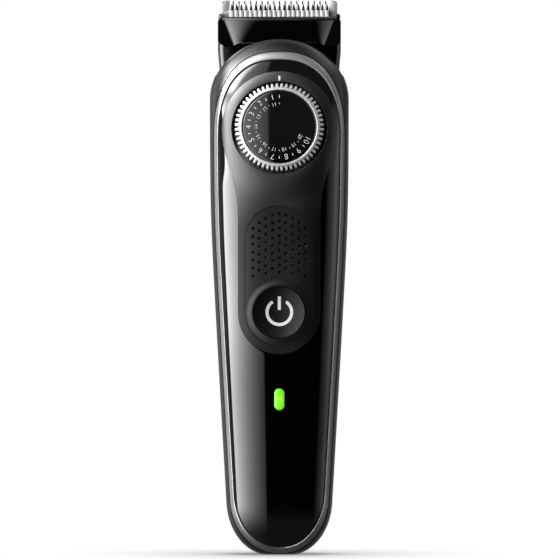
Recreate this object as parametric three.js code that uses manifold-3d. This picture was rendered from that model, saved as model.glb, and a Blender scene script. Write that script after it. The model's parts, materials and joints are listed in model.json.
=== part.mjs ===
// Cordless beard trimmer. Millimetres, +Z up, front faces -Y, origin on the foot.
// The body is a loft of rounded sections; every skin piece is a layer of that loft
// cut to its outline, so panels, rings and pads all follow the body's curve.
import * as THREE from 'three';
import { mergeVertices } from 'three/addons/utils/BufferGeometryUtils.js';
import Module from 'manifold-3d';

const wasm = await Module();
wasm.setup();

// ---- driving dimensions -------------------------------------------------------------
const BODY_TOP = 157.4;            // top of the arch over the front shell
const ARCH_CENTRE = 138;           // height where the sides start to close into the arch
const ARCH_RISE = 19.5;
const WALL = 2.8;                  // shell wall
const SKIN = 1.3;                  // thickness of ring, panels and pads
const SEAT = 1.6;                  // depth of the seat they lie in
const GAP = 0.3;                   // clearance between neighbouring pieces
const FAR = 30;                    // well outside the body, where cutting tools end
const ABOVE = 175;                 // above the blades
const PANEL_BACK = -4;             // cutting tools for the front skin end at this depth

// side inset, bottom and top of the outlines in the front skin
const SEAT_EDGE = [1.0, 0.25, 153.15];
const RING_OUTER_EDGE = [1.25, 0.5, 152.9];
const RING_INNER_EDGE = [2.45, 2.1, 150.6];
const GLOSS_EDGE = [2.7, 2.35, 150.35];
const RING_PROUD = 0.15;           // how far each piece stands out of the body's form
const CONTROL_PROUD = 0.3;
const PAD_PROUD = 0.4;

const DIAL_HEIGHT = 129.8;         // height of the dial's centre
const DIAL_TILT = 12;              // degrees that the dial leans back
const DIAL_RADIUS = 13.6;
const DIAL_WELL_RADIUS = 14.25;    // round opening in the panels
const DIAL_STEPS = 19;             // half-millimetre settings above the shortest
const STEP_ANGLE = 360 / 28;       // 28 detents in a full turn
const COMB_TRAVEL = 9.5;
const CAM_START_RADIUS = 3.9;      // follower pin radius at rest
const PIN_RADIUS = 1.0;

const BUTTON_HEIGHT = 73.9;
const BUTTON_RADIUS = 7.85;
const LENS_HEIGHT = 47.4;
const LENS_HALF_WIDTH = 1.55;
const LENS_HALF_LENGTH = 3.3;

const HEAD_BOTTOM = 146;
const HEAD_TOP = 162.3;
const HEAD_HALF_WIDTH = 18.7;
const BLADE_ROOT = 163.4;
const FIXED_TIP = 168;
const MOVING_TIP = 167;
const BLADE_THICKNESS = 0.6;
const FIXED_BLADE_Y = 7.4;         // front face of the fixed blade
const MOVING_BLADE_Y = 6.5;

const MOTOR_Y = 4;                 // the motor's axis
const MOTOR_BOTTOM = 94;
const MOTOR_TOP = 122;
const ECCENTRICITY = 0.6;
const LEVER_PIVOT = 148;           // height of the drive lever's pin
const LEVER_KNOB = 160;

const SCREW_SPOTS = [
  { x: -9.8, z: 24, seat: 7.2 }, { x: 9.8, z: 24, seat: 7.2 },
  { x: -13.8, z: 104, seat: 9.0 }, { x: 13.8, z: 104, seat: 9.0 },
];
const BLADE_SCREW_X = 12;
const BLADE_SCREW_Z = 155.5;

// ---- colours ------------------------------------------------------------------------
const finish = (color, roughness, metalness = 0) =>
  new THREE.MeshStandardMaterial({ color, roughness, metalness });
const MATTE_BLACK = finish(0x1a1b1d, 0.55);
const GLOSS_BLACK = finish(0x060607, 0.06);
const SOFT_BLACK = finish(0x202123, 0.75);
const SATIN_SILVER = finish(0xb4b6ba, 0.3, 1);
const STEEL = finish(0xc2c5c9, 0.25, 1);
const SPRING_STEEL = finish(0x9a9da1, 0.35, 1);
const BRASS = finish(0xb8963e, 0.35, 1);
const GREY_PLASTIC = finish(0x6b6e72, 0.6);
const RUBBER = finish(0x141414, 0.9);
const LED_GREEN = finish(0x6bea1e, 0.2);
const BOARD_GREEN = finish(0x1c5b33, 0.5);
const CELL_BLUE = finish(0x23507f, 0.4);
const LEAD_RED = finish(0xa8231f, 0.5);

// ---- small tools --------------------------------------------------------------------
const radians = THREE.MathUtils.degToRad;

function solid(geometry) {
  const bare = geometry.index ? geometry.toNonIndexed() : geometry.clone();
  bare.deleteAttribute('normal');
  bare.deleteAttribute('uv');
  const merged = mergeVertices(bare, 1e-4);
  const mesh = new wasm.Mesh({
    numProp: 3,
    vertProperties: new Float32Array(merged.attributes.position.array),
    triVerts: new Uint32Array(merged.index.array),
  });
  return new wasm.Manifold(mesh);
}

const join = (...solids) => solids.reduce((whole, next) => whole.add(next));
const cut = (whole, ...tools) => tools.reduce((rest, tool) => rest.subtract(tool), whole);

function geometryOf(manifold) {
  const mesh = manifold.getMesh();
  const geometry = new THREE.BufferGeometry();
  geometry.setAttribute('position', new THREE.BufferAttribute(mesh.vertProperties, 3));
  geometry.setIndex(new THREE.BufferAttribute(mesh.triVerts, 1));
  geometry.computeVertexNormals();
  return geometry;
}

function part(parent, name, shape, material) {
  const mesh = new THREE.Mesh(geometryOf(shape), material);
  mesh.name = name;
  parent.add(mesh);
}

function block(x0, x1, y0, y1, z0, z1) {
  const geometry = new THREE.BoxGeometry(x1 - x0, y1 - y0, z1 - z0);
  geometry.translate((x0 + x1) / 2, (y0 + y1) / 2, (z0 + z1) / 2);
  return solid(geometry);
}

// a rod along Y, from y0 to y1, through (x, z)
function rodY(radius, x, z, y0, y1, segments = 16) {
  const geometry = new THREE.CylinderGeometry(radius, radius, y1 - y0, segments);
  geometry.translate(x, (y0 + y1) / 2, z);
  return solid(geometry);
}

// a rod along Z, from z0 to z1, through (x, y)
function rodZ(radius, x, y, z0, z1, segments = 20) {
  const geometry = new THREE.CylinderGeometry(radius, radius, z1 - z0, segments);
  geometry.rotateX(Math.PI / 2);
  geometry.translate(x, y, (z0 + z1) / 2);
  return solid(geometry);
}

// a front-view outline pushed along Y from y0 to y1
function prism(shape, y0, y1, curveSegments = 10) {
  const geometry = new THREE.ExtrudeGeometry(shape, { depth: y1 - y0, bevelEnabled: false, curveSegments });
  geometry.rotateX(Math.PI / 2);
  geometry.translate(0, y1, 0);
  return solid(geometry);
}

function turned(profile, segments) {
  const points = profile.map(([radius, height]) => new THREE.Vector2(radius, height));
  const geometry = new THREE.LatheGeometry(points, segments);
  geometry.rotateX(Math.PI / 2);
  return solid(geometry);
}

const washer = (inner, outer, low, high, segments) =>
  turned([[inner, low], [outer, low], [outer, high], [inner, high], [inner, low]], segments);

function outline(points) {
  return new THREE.Shape(points.map(([x, z]) => new THREE.Vector2(x, z)));
}

// ---- body form ----------------------------------------------------------------------
// a ramp with a soft knee: near 0 below the knee, near t above it
const softRamp = (t, softness) => (t + Math.hypot(t, softness)) / 2;

// 0 at the end of the body, 1 once the rounding is over
function endRound(rise, reach, power) {
  return rise >= reach ? 1 : (1 - (1 - rise / reach) ** 2) ** (1 / power);
}

const END_REACH = 16;
const sideTaper = (z) => 15.25 + 0.0575 * z - 0.0575 * softRamp(z - 103.5, 14);

const sideHalf = (z) => sideTaper(z) * endRound(z + 0.6, END_REACH, 2.6);

function frontDepth(z) {
  return (12.8 + 0.024 * z - 0.2366 * softRamp(z - 114, 6)) * endRound(z + 0.6, END_REACH, 2.6);
}

function rearDepth(z) {
  return (13 + 0.045 * z - 0.55 * softRamp(z - 138, 10)) * endRound(z + 1.3, END_REACH, 2.6);
}

const SIDE_LEVELS = [0, 1, 3, 6.5, 11, 18, 42, 70, 95, 110, 118, 126, 138];
const ARCH_LEVELS = [16, 31, 45, 58, 70, 80].map(
  (angle) => ARCH_CENTRE + ARCH_RISE * Math.sin(radians(angle)));
const LEVELS = [...SIDE_LEVELS, ...ARCH_LEVELS, BODY_TOP];
const FRONT_POWER = 3.4;
const REAR_POWER = 2.4;
const SECTION_POINTS = 24;

// a closed skin over stacked rings of points, with flat ends
function loft(rings) {
  const count = rings[0].length;
  const positions = rings.flat(2);
  const faces = [];
  for (let level = 0; level + 1 < rings.length; level += 1) {
    for (let step = 0; step < count; step += 1) {
      const a = level * count + step;
      const b = level * count + ((step + 1) % count);
      faces.push(a, b, b + count, a, b + count, a + count);
    }
  }
  const last = (rings.length - 1) * count;
  for (let step = 1; step + 1 < count; step += 1) {
    faces.push(0, step + 1, step);
    faces.push(last, last + step, last + step + 1);
  }
  const geometry = new THREE.BufferGeometry();
  geometry.setAttribute('position', new THREE.Float32BufferAttribute(positions, 3));
  geometry.setIndex(faces);
  return solid(geometry);
}

// The whole body, its surface moved inwards by inset. Its depth falls off towards the
// outline: share is 0 on the centre line and 1 on the outline, at the sides and the arch.
function bodyForm(inset) {
  const squeeze = (BODY_TOP - 2 * inset) / BODY_TOP;
  const archHalf = sideTaper(ARCH_CENTRE) - inset;
  return loft(LEVELS.map((level) => {
    const climb = Math.max(0, (level - ARCH_CENTRE) / ARCH_RISE);
    const width = climb > 0 ? archHalf * Math.sqrt(1 - climb ** 2) : sideHalf(level) - inset;
    const ring = [];
    for (let step = 0; step < SECTION_POINTS; step += 1) {
      const angle = (2 * Math.PI * step) / SECTION_POINTS;
      const inFront = Math.sin(angle) < 0;
      const power = inFront ? FRONT_POWER : REAR_POWER;
      const depth = inFront ? inset - frontDepth(level) : rearDepth(level) - inset;
      const x = width * Math.sign(Math.cos(angle)) * Math.abs(Math.cos(angle)) ** (2 / power);
      const share = Math.min(1, climb > 0 ? Math.hypot(x / archHalf, climb) : Math.abs(x) / width);
      const onOutline = step % (SECTION_POINTS / 2) === 0;
      ring.push([x, onOutline ? 0 : depth * (1 - share ** power) ** (1 / power), inset + level * squeeze]);
    }
    return ring;
  }));
}

const layer = (outer, inner) => bodyForm(outer).subtract(bodyForm(inner));

// ---- outlines in the front view -----------------------------------------------------
const RING_BULGE_START = 126;

// rounded outline that follows the body's sides, closed by a round top and bottom
function panelOutline(sideInset, bottom, top) {
  const rise = top - RING_BULGE_START;
  const width = (z) => {
    const side = sideTaper(Math.min(z, RING_BULGE_START)) - sideInset;
    if (z <= RING_BULGE_START) return side * endRound(z - bottom, END_REACH, 2.2);
    return side * (1 - ((z - RING_BULGE_START) / rise) ** 2.4) ** (1 / 2.4);
  };
  const low = [0.15, 1, 2.8, 5.5, 9.5, 16].map((step) => bottom + step);
  const high = [0.3, 0.53, 0.72, 0.87, 0.96, 0.997].map((part) => RING_BULGE_START + rise * part);
  const heights = [...low, 50, 85, 108, RING_BULGE_START, ...high];
  const right = heights.map((z) => [width(z), z]);
  const left = heights.map((z) => [-width(z), z]).reverse();
  return outline([...right, ...left]);
}

const KEYHOLE_RADIUS = 17.05;
const KEYHOLE_LOWER_HALF = 12.4;
const KEYHOLE_LOWER_CENTRE = 73.6;
const KEYHOLE_NECK = 103;

function keyholeOutline(grow) {
  const shape = new THREE.Shape();
  const upper = KEYHOLE_RADIUS + grow;
  const lower = KEYHOLE_LOWER_HALF + grow;
  shape.moveTo(upper, DIAL_HEIGHT);
  shape.absarc(0, DIAL_HEIGHT, upper, 0, Math.PI);
  shape.bezierCurveTo(-upper, 119, -lower, 116, -lower, KEYHOLE_NECK);
  shape.lineTo(-lower, KEYHOLE_LOWER_CENTRE);
  shape.absarc(0, KEYHOLE_LOWER_CENTRE, lower, Math.PI, 2 * Math.PI);
  shape.lineTo(lower, KEYHOLE_NECK);
  shape.bezierCurveTo(lower, 116, upper, 119, upper, DIAL_HEIGHT);
  return shape;
}

function stadium(halfWide, low, high) {
  const shape = new THREE.Shape();
  shape.moveTo(halfWide, low);
  shape.lineTo(halfWide, high);
  shape.absarc(0, high, halfWide, 0, Math.PI);
  shape.lineTo(-halfWide, low);
  shape.absarc(0, low, halfWide, Math.PI, 2 * Math.PI);
  return shape;
}

function disc(x, z, radius) {
  const shape = new THREE.Shape();
  shape.absarc(x, z, radius, 0, 2 * Math.PI);
  return shape;
}

// ---- scene graph --------------------------------------------------------------------
const trimmer = new THREE.Group();
trimmer.name = 'beard_trimmer';

// the dial's own space: X right, Y up along the dial's face, Z out of it
const dial = new THREE.Group();
dial.position.set(0, -frontDepth(DIAL_HEIGHT), DIAL_HEIGHT);
dial.rotation.x = radians(90 - DIAL_TILT);
trimmer.add(dial);
trimmer.updateMatrixWorld(true);
const fromDialSpace = (shape) => shape.transform(dial.matrixWorld.toArray());

// ---- openings shared by the skin pieces and the shells ------------------------------
const plug = (radius, low, high, segments) =>
  turned([[0, low], [radius, low], [radius, high], [0, high]], segments);
const dialWell = fromDialSpace(plug(DIAL_WELL_RADIUS, -3, 8, 36));
const shaftHole = fromDialSpace(plug(3.5, -8, 2, 16));
const lensLow = LENS_HEIGHT - LENS_HALF_LENGTH + LENS_HALF_WIDTH;
const lensHigh = LENS_HEIGHT + LENS_HALF_LENGTH - LENS_HALF_WIDTH;
const lensRod = (grow) => prism(stadium(LENS_HALF_WIDTH + grow, lensLow, lensHigh), -FAR, -10.4, 5);
const buttonRod = (grow) => prism(disc(0, BUTTON_HEIGHT, BUTTON_RADIUS + grow), -FAR, 0, 14);
const PAD_HALF = 10.3;
const PAD_LOW = 74.1;
const PAD_HIGH = 96;
const padPrism = (grow) => prism(stadium(PAD_HALF + grow, PAD_LOW, PAD_HIGH), -FAR, PANEL_BACK);
const chin = block(-FAR, FAR, -4.8, 0, -5, 10);
const skinPrism = (...insets) => prism(panelOutline(...insets), -FAR, PANEL_BACK).subtract(chin);
const headRoom = block(-FAR, FAR, -3, 8.8, HEAD_BOTTOM - 0.5, ABOVE);
const carriageChannel = join(
  block(-9.4, 9.4, 8.5, 13, 132, 141),
  block(-7.6, 7.6, 8.5, 13, 140, ABOVE),
  block(-7.6, 7.6, 8.5, FAR, 143.5, ABOVE));
const socketOpening = block(-4.9, 4.9, -2.5, 3.7, -1, 6);

// ---- casing -------------------------------------------------------------------------
const body = bodyForm(0);
const cavity = bodyForm(WALL).intersect(block(-FAR, FAR, -FAR, FAR, -5, HEAD_BOTTOM - 0.2));
const casing = cut(body, cavity, headRoom, socketOpening);
const bossStock = bodyForm(2);

function frontShell() {
  const seat = layer(-1, SEAT).intersect(skinPrism(...SEAT_EDGE));
  let shell = casing.intersect(block(-FAR, FAR, -FAR, -0.15, -5, ABOVE));
  shell = cut(shell, seat, shaftHole, rodY(2.2, 0, BUTTON_HEIGHT, -20, -5), lensRod(0.25));
  for (const { x, z } of SCREW_SPOTS) {
    const boss = rodY(2.2, x, z, -14, -0.2).intersect(bossStock);
    shell = cut(join(shell, boss), rodY(1.2, x, z, -7.5, 1));
  }
  return shell;
}

const GRIP_FRONT = 3;
const GRIP_LOW = 15;
const GRIP_HIGH = 121;
const GRIP_SIDE_INSET = 3.6;

// outline of the back grip, wider or narrower by grow
function gripOutline(grow) {
  const low = GRIP_LOW - grow;
  const high = GRIP_HIGH + grow;
  const width = (z) => {
    const ends = endRound(z - low, 11, 2.2) * endRound(high - z, 13, 2.2);
    return (sideTaper(z) - GRIP_SIDE_INSET + grow) * ends;
  };
  const rises = [0.1, 0.8, 2.4, 5, 8.5];
  const bottom = rises.map((step) => low + step);
  const top = rises.map((step) => high - step).reverse();
  const heights = [...bottom, 30, 55, 80, 102, ...top];
  const right = heights.map((z) => [width(z), z]);
  const left = heights.map((z) => [-width(z), z]).reverse();
  return outline([...right, ...left]);
}

function rearShell() {
  const seat = layer(-1, 1.5).intersect(prism(gripOutline(GAP), GRIP_FRONT, FAR));
  let shell = casing.intersect(block(-FAR, FAR, 0.15, FAR, -5, 150.5));
  shell = cut(shell, seat, carriageChannel);
  for (const { x, z, seat: depth } of SCREW_SPOTS) {
    const boss = rodY(2.6, x, z, 0.2, 16).intersect(bossStock);
    shell = cut(join(shell, boss), rodY(1.2, x, z, -1, depth + 1), rodY(2.1, x, z, depth, FAR));
  }
  return shell;
}

part(trimmer, 'front_shell', frontShell(), MATTE_BLACK);
part(trimmer, 'rear_shell', rearShell(), MATTE_BLACK);
part(trimmer, 'rear_grip', layer(-0.3, 1.2).intersect(prism(gripOutline(0), GRIP_FRONT, FAR)), RUBBER);

const sealBand = layer(3.0, 3.8).intersect(block(-FAR, FAR, -0.7, 0.7, 12, 143));
part(trimmer, 'shell_seal_left', sealBand.intersect(block(-FAR, 0, -2, 2, 0, 170)), RUBBER);
part(trimmer, 'shell_seal_right', sealBand.intersect(block(0, FAR, -2, 2, 0, 170)), RUBBER);

SCREW_SPOTS.forEach(({ x, z, seat }, index) => {
  const slot = block(x - 1.2, x + 1.2, seat + 1.1, seat + 2, z - 0.3, z + 0.3);
  const head = cut(rodY(1.8, x, z, seat + 0.1, seat + 1.6), slot);
  part(trimmer, `shell_screw_${index + 1}`, join(head, rodY(0.95, x, z, -7, seat + 0.5, 12)), STEEL);
});

// ---- front skin ---------------------------------------------------------------------
const keyhole = (grow) => prism(keyholeOutline(grow), -FAR, PANEL_BACK);
const ringStock = skinPrism(...RING_OUTER_EDGE).subtract(skinPrism(...RING_INNER_EDGE));
part(trimmer, 'trim_ring', layer(-RING_PROUD, SKIN).intersect(ringStock), SATIN_SILVER);

const glossStock = skinPrism(...GLOSS_EDGE);
const glossPanel = cut(layer(0, SKIN).intersect(glossStock), keyhole(0.25), lensRod(0.2));
part(trimmer, 'gloss_panel', glossPanel, GLOSS_BLACK);

const controlPanel = cut(layer(-CONTROL_PROUD, SKIN).intersect(keyhole(0)), dialWell, padPrism(0.25));
part(trimmer, 'control_panel', controlPanel, MATTE_BLACK);
part(trimmer, 'grip_pad', cut(layer(-PAD_PROUD, SKIN).intersect(padPrism(0)), buttonRod(0.3)), SOFT_BLACK);

// the lens is a light pipe from the skin down to the lamp on the board
part(trimmer, 'status_lens', lensRod(0).intersect(bodyForm(-0.05)), LED_GREEN);

function powerButton() {
  const cap = layer(0.1, 0.95).intersect(buttonRod(0));
  const stem = rodY(1.8, 0, BUTTON_HEIGHT, -13.9, -11.3);
  return join(cap, stem);
}
part(trimmer, 'power_button', powerButton(), MATTE_BLACK);

// ---- length dial --------------------------------------------------------------------
const CAM_BACK = -7.2;
const CAM_FRONT = -5.2;
const CAM_RADIUS = 15.3;

function serratedRing() {
  const teeth = 56;
  const shape = new THREE.Shape();
  for (let step = 0; step < 2 * teeth; step += 1) {
    const angle = (Math.PI * step) / teeth;
    const radius = step % 2 ? DIAL_RADIUS : DIAL_RADIUS - 0.45;
    const [x, y] = [radius * Math.cos(angle), radius * Math.sin(angle)];
    if (step) shape.lineTo(x, y);
    else shape.moveTo(x, y);
  }
  const stock = new THREE.ExtrudeGeometry(shape, { depth: 3, bevelEnabled: false });
  stock.translate(0, 0, -0.8);
  const bore = plug(11.9, -2, 8, 28);
  const rim = turned([
    [5.8, -1.1], [12.9, -1.1], [12.9, 2.1], [12.2, 2.9],
    [11.5, 3], [11.5, 0.6], [5.8, 0.6], [5.8, -1.1],
  ], 28);
  return join(cut(solid(stock), bore), rim);
}

// the slot's centre line: the pin's radius grows evenly as the dial turns
function spiralSlot() {
  const slotHalf = PIN_RADIUS + GAP;
  const turn = radians(DIAL_STEPS * STEP_ANGLE);
  const point = (t, offset) => {
    const angle = Math.PI / 2 + turn * t;
    const radius = CAM_START_RADIUS + COMB_TRAVEL * t + offset;
    return new THREE.Vector2(radius * Math.cos(angle), radius * Math.sin(angle));
  };
  const path = [];
  const steps = 20;
  for (let step = 0; step <= steps; step += 1) path.push(point(step / steps, slotHalf));
  for (let step = steps; step >= 0; step -= 1) path.push(point(step / steps, -slotHalf));
  const groove = new THREE.ExtrudeGeometry(new THREE.Shape(path), { depth: 4, bevelEnabled: false });
  groove.translate(0, 0, CAM_BACK - 1);
  const ends = [0, 1].map((t) => {
    const centre = point(t, 0);
    return plug(slotHalf, CAM_BACK - 1, CAM_FRONT + 1, 16).translate([centre.x, centre.y, 0]);
  });
  return join(solid(groove), ...ends);
}

const camStock = washer(1.95, CAM_RADIUS, CAM_BACK, CAM_FRONT, 36);
part(dial, 'dial_ring', serratedRing(), SATIN_SILVER);
part(dial, 'dial_face', turned([[0, 0.9], [11.2, 0.9], [11.2, 2.4], [10.9, 2.7], [0, 2.7]], 32), GLOSS_BLACK);
part(dial, 'dial_shaft', turned([
  [0, -7.3], [1.8, -7.3], [1.8, -1.2], [5.5, -1.2], [5.5, 0.6], [0, 0.6],
], 24), GREY_PLASTIC);
part(dial, 'cam_disc', camStock.subtract(spiralSlot()), GREY_PLASTIC);
part(dial, 'dial_seal', washer(2.1, 3.2, -2.8, -1.8, 16), RUBBER);
part(dial, 'detent_spring', washer(4.2, 7.5, -4.7, -3.7, 20), SPRING_STEEL);

// ---- comb carriage ------------------------------------------------------------------
function combCarriage() {
  const plate = new THREE.BoxGeometry(17.6, 9.5, 1.2);
  plate.translate(0, 1.25, -8.2);
  const pin = plug(PIN_RADIUS, -8.2, -5.4, 16).translate([0, CAM_START_RADIUS, 0]);
  const slider = fromDialSpace(join(solid(plate), pin));
  const arms = [-1, 1].map((side) => block(side * 8.1 - 0.7, side * 8.1 + 0.7, -4, 10.3, 125, 128.5));
  const crossbar = block(-8.8, 8.8, 8.9, 10.3, 125, 128.5);
  const tongue = block(-6.8, 6.8, 8.9, 10.3, 125, 156);
  const hookSlot = block(-3, 3, 8, 12, 151.5, 153.5);
  return cut(join(slider, ...arms, crossbar, tongue), hookSlot);
}
part(trimmer, 'comb_carriage', combCarriage(), GREY_PLASTIC);

// ---- chassis, battery and board -----------------------------------------------------
function chassis() {
  const [front, back] = [-5.4, -4.2];
  const spine = join(block(-7.2, 7.2, front, back, 14, 40), block(-10.5, 10.5, front, back, 30, 123.7));
  const floor = block(-7.2, 7.2, front, 8, 14, 15.2);
  const middle = block(-8, 8, front, 9, 66.4, 67.8);
  const motorPlate = block(-10.3, 10.3, front, 11, 122.3, 123.7);
  const leadWindow = block(-5, 5, -8, -3, 80, 88);
  return cut(join(spine, floor, middle, motorPlate), rodZ(3.7, 0, MOTOR_Y, 120, 126), leadWindow);
}
part(trimmer, 'chassis', chassis(), GREY_PLASTIC);
part(trimmer, 'battery_cell', join(rodZ(7, 0, 3.2, 17, 64), rodZ(2.6, 0, 3.2, 63, 65)), CELL_BLUE);
part(trimmer, 'battery_contact_top', block(-3, 3, 0, 6, 65.3, 66), SPRING_STEEL);
part(trimmer, 'battery_contact_bottom', block(-3.5, 3.5, -0.5, 6.5, 15.6, 16.6), SPRING_STEEL);
part(trimmer, 'circuit_board', block(-7.2, 7.2, -8.6, -7.4, 20, 104), BOARD_GREEN);
part(trimmer, 'power_switch', join(
  block(-3, 3, -10, -8.9, BUTTON_HEIGHT - 3, BUTTON_HEIGHT + 3),
  rodY(1.5, 0, BUTTON_HEIGHT, -10.4, -9.5, 16)), GREY_PLASTIC);
part(trimmer, 'status_led', block(-1, 1, -9.9, -8.9, LENS_HEIGHT - 1.6, LENS_HEIGHT + 1.6), LED_GREEN);

// the socket is a cup open downwards, with a pin through each hole in its roof
const PIN_SPREAD = 1.9;
function chargingSocket() {
  const cup = cut(block(-4.6, 4.6, -2.2, 3.4, 0.3, 9.5), block(-3.6, 3.6, -1.2, 2.4, -1, 8));
  return cut(cup, rodZ(0.9, -PIN_SPREAD, 0.6, 7, 11, 16), rodZ(0.9, PIN_SPREAD, 0.6, 7, 11, 16));
}
part(trimmer, 'charging_socket', chargingSocket(), SOFT_BLACK);
part(trimmer, 'charging_pin_left', rodZ(0.6, -PIN_SPREAD, 0.6, 3, 11, 12), BRASS);
part(trimmer, 'charging_pin_right', rodZ(0.6, PIN_SPREAD, 0.6, 3, 11, 12), BRASS);

// ---- motor --------------------------------------------------------------------------
// a can flattened front and back
function motorForm(radius, half, z0, z1) {
  const flats = block(-20, 20, MOTOR_Y - half, MOTOR_Y + half, z0 - 1, z1 + 1);
  return rodZ(radius, 0, MOTOR_Y, z0, z1, 32).intersect(flats);
}
const motorCan = cut(motorForm(10, 7, MOTOR_BOTTOM, MOTOR_TOP), rodZ(1.4, 0, MOTOR_Y, 110, 125));
part(trimmer, 'motor_can', motorCan, STEEL);
part(trimmer, 'motor_end_cap', motorForm(9.4, 6.5, MOTOR_BOTTOM - 2.8, MOTOR_BOTTOM - 0.3), SOFT_BLACK);
const bearing = cut(rodZ(3.4, 0, MOTOR_Y, MOTOR_TOP + 0.3, 124.3), rodZ(1.3, 0, MOTOR_Y, 121, 126));
part(trimmer, 'motor_bearing', bearing, BRASS);
part(trimmer, 'motor_shaft', rodZ(1, 0, MOTOR_Y, 112, 130, 16), STEEL);
const hub = cut(rodZ(3.5, 0, MOTOR_Y, 127, 133.5), rodZ(1.1, 0, MOTOR_Y, 126, 130.3, 16));
part(trimmer, 'eccentric_hub', cut(hub, rodZ(1.1, ECCENTRICITY, MOTOR_Y, 131.2, 134, 16)), GREY_PLASTIC);
part(trimmer, 'eccentric_pin', rodZ(1, ECCENTRICITY, MOTOR_Y, 131.4, 142.6, 16), STEEL);

function lead(x) {
  const path = new THREE.CatmullRomCurve3([
    new THREE.Vector3(x, -7, 84), new THREE.Vector3(x, -3, 84.2),
    new THREE.Vector3(x, 2, 86), new THREE.Vector3(x, 3.5, 90.8),
  ]);
  const section = new THREE.Shape();
  section.absarc(0, 0, 0.6, 0, 2 * Math.PI);
  return solid(new THREE.ExtrudeGeometry(section, { steps: 10, curveSegments: 5, extrudePath: path }));
}
part(trimmer, 'motor_lead_positive', lead(3), LEAD_RED);
part(trimmer, 'motor_lead_negative', lead(-3), SOFT_BLACK);

// ---- head ---------------------------------------------------------------------------
const HEAD_FRONT = -2.7;
const HEAD_REAR = 8.5;
const FACE_LOW = 155.6;            // height where the head's face starts to lean back
const FACE_LEAN = 0.58;            // depth gained for each millimetre of height
const headHalf = (z) => HEAD_HALF_WIDTH - 0.6 * Math.max(0, (153 - z) / 7);

function headHousing() {
  const power = 0.3;
  const rings = [HEAD_BOTTOM, 149.5, 153, HEAD_TOP].map((z) => {
    const centre = (HEAD_FRONT + HEAD_REAR) / 2;
    const depth = (HEAD_REAR - HEAD_FRONT) / 2;
    const ring = [];
    for (let step = 0; step < 28; step += 1) {
      const angle = (2 * Math.PI * step) / 28;
      const across = Math.sign(Math.cos(angle)) * Math.abs(Math.cos(angle)) ** power;
      const along = Math.sign(Math.sin(angle)) * Math.abs(Math.sin(angle)) ** power;
      ring.push([headHalf(z) * across, centre + depth * along, z]);
    }
    return ring;
  });
  // above the neck the face leans back, and it falls away towards the cheeks
  const leanLow = 151;
  const fall = [[5, 0], [9, 0.3], [12.5, 1.1], [15.4, 2.3], [20, 2.3], [20, -12]];
  const plan = outline([...fall.map(([x, y]) => [-x, y]).reverse(), ...fall]);
  const face = new THREE.ExtrudeGeometry(plan, { depth: HEAD_TOP + 1 - leanLow, bevelEnabled: false });
  face.applyMatrix4(new THREE.Matrix4().makeShear(0, 0, 0, 0, 0, FACE_LEAN));
  face.translate(0, HEAD_FRONT + FACE_LEAN * (leanLow - FACE_LOW), leanLow);
  const leverRoom = block(-8.5, 8.5, 2.2, 6.3, HEAD_BOTTOM - 1, 161.6);
  const bladeRoom = block(-17, 17, 6.1, 7.3, 157, ABOVE);
  const bladeSeat = block(-FAR, FAR, 7.1, 20, 153.7, ABOVE);
  const pinBore = rodY(1.2, 0, LEVER_PIVOT, -0.4, 7.3);
  const screwBores = [-1, 1].map((side) => rodY(1.1, side * BLADE_SCREW_X, BLADE_SCREW_Z, 3.6, 8));
  return cut(loft(rings), solid(face), leverRoom, bladeRoom, bladeSeat, pinBore, ...screwBores);
}
part(trimmer, 'head_housing', headHousing(), GLOSS_BLACK);

// upper edge of a comb, from right to left: count teeth centred on x = 0
function combTeeth(count, pitch, root, tip, rootHalf, tipHalf) {
  const points = [];
  for (let tooth = (count - 1) / 2; tooth >= -(count - 1) / 2; tooth -= 1) {
    const x = tooth * pitch;
    points.push([x + rootHalf, root], [x + tipHalf, tip], [x - tipHalf, tip], [x - rootHalf, root]);
  }
  return points;
}

function fixedBlade() {
  const tab = [15.1, 17.6];
  const rightTab = [
    [tab[1], 167], [tab[1] - 0.3, 167.7], [tab[1] - 1, FIXED_TIP],
    [tab[0], FIXED_TIP], [tab[0], BLADE_ROOT],
  ];
  const leftTab = rightTab.map(([x, z]) => [-x, z]).reverse();
  const shape = outline([
    [-tab[1], 154], [tab[1], 154], ...rightTab,
    ...combTeeth(17, 1.757, BLADE_ROOT, FIXED_TIP, 0.5, 0.13), ...leftTab,
  ]);
  const plate = prism(shape, FIXED_BLADE_Y, FIXED_BLADE_Y + BLADE_THICKNESS);
  const bores = [-1, 1].map((side) => rodY(1.1, side * BLADE_SCREW_X, BLADE_SCREW_Z, 7, 9));
  return cut(plate, ...bores);
}

function movingBlade() {
  const half = 15.3;
  const shape = outline([
    [-half, 157.6], [half, 157.6], [half, BLADE_ROOT],
    ...combTeeth(21, 1.446, BLADE_ROOT, MOVING_TIP, 0.45, 0.2), [-half, BLADE_ROOT],
  ]);
  const plate = prism(shape, MOVING_BLADE_Y, MOVING_BLADE_Y + BLADE_THICKNESS);
  return cut(plate, block(-1.3, 1.3, 6, 8, LEVER_KNOB - 1.4, LEVER_KNOB + 1.4));
}
part(trimmer, 'fixed_blade', fixedBlade(), STEEL);
part(trimmer, 'moving_blade', movingBlade(), STEEL);

[-1, 1].forEach((side, index) => {
  const [x, z] = [side * BLADE_SCREW_X, BLADE_SCREW_Z];
  const head = cut(rodY(1.5, x, z, 8.3, 9.1), block(x - 1, x + 1, 8.8, 10, z - 0.25, z + 0.25));
  part(trimmer, `blade_screw_${index + 1}`, join(head, rodY(0.8, x, z, 4, 8.5, 12)), STEEL);
});

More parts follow.
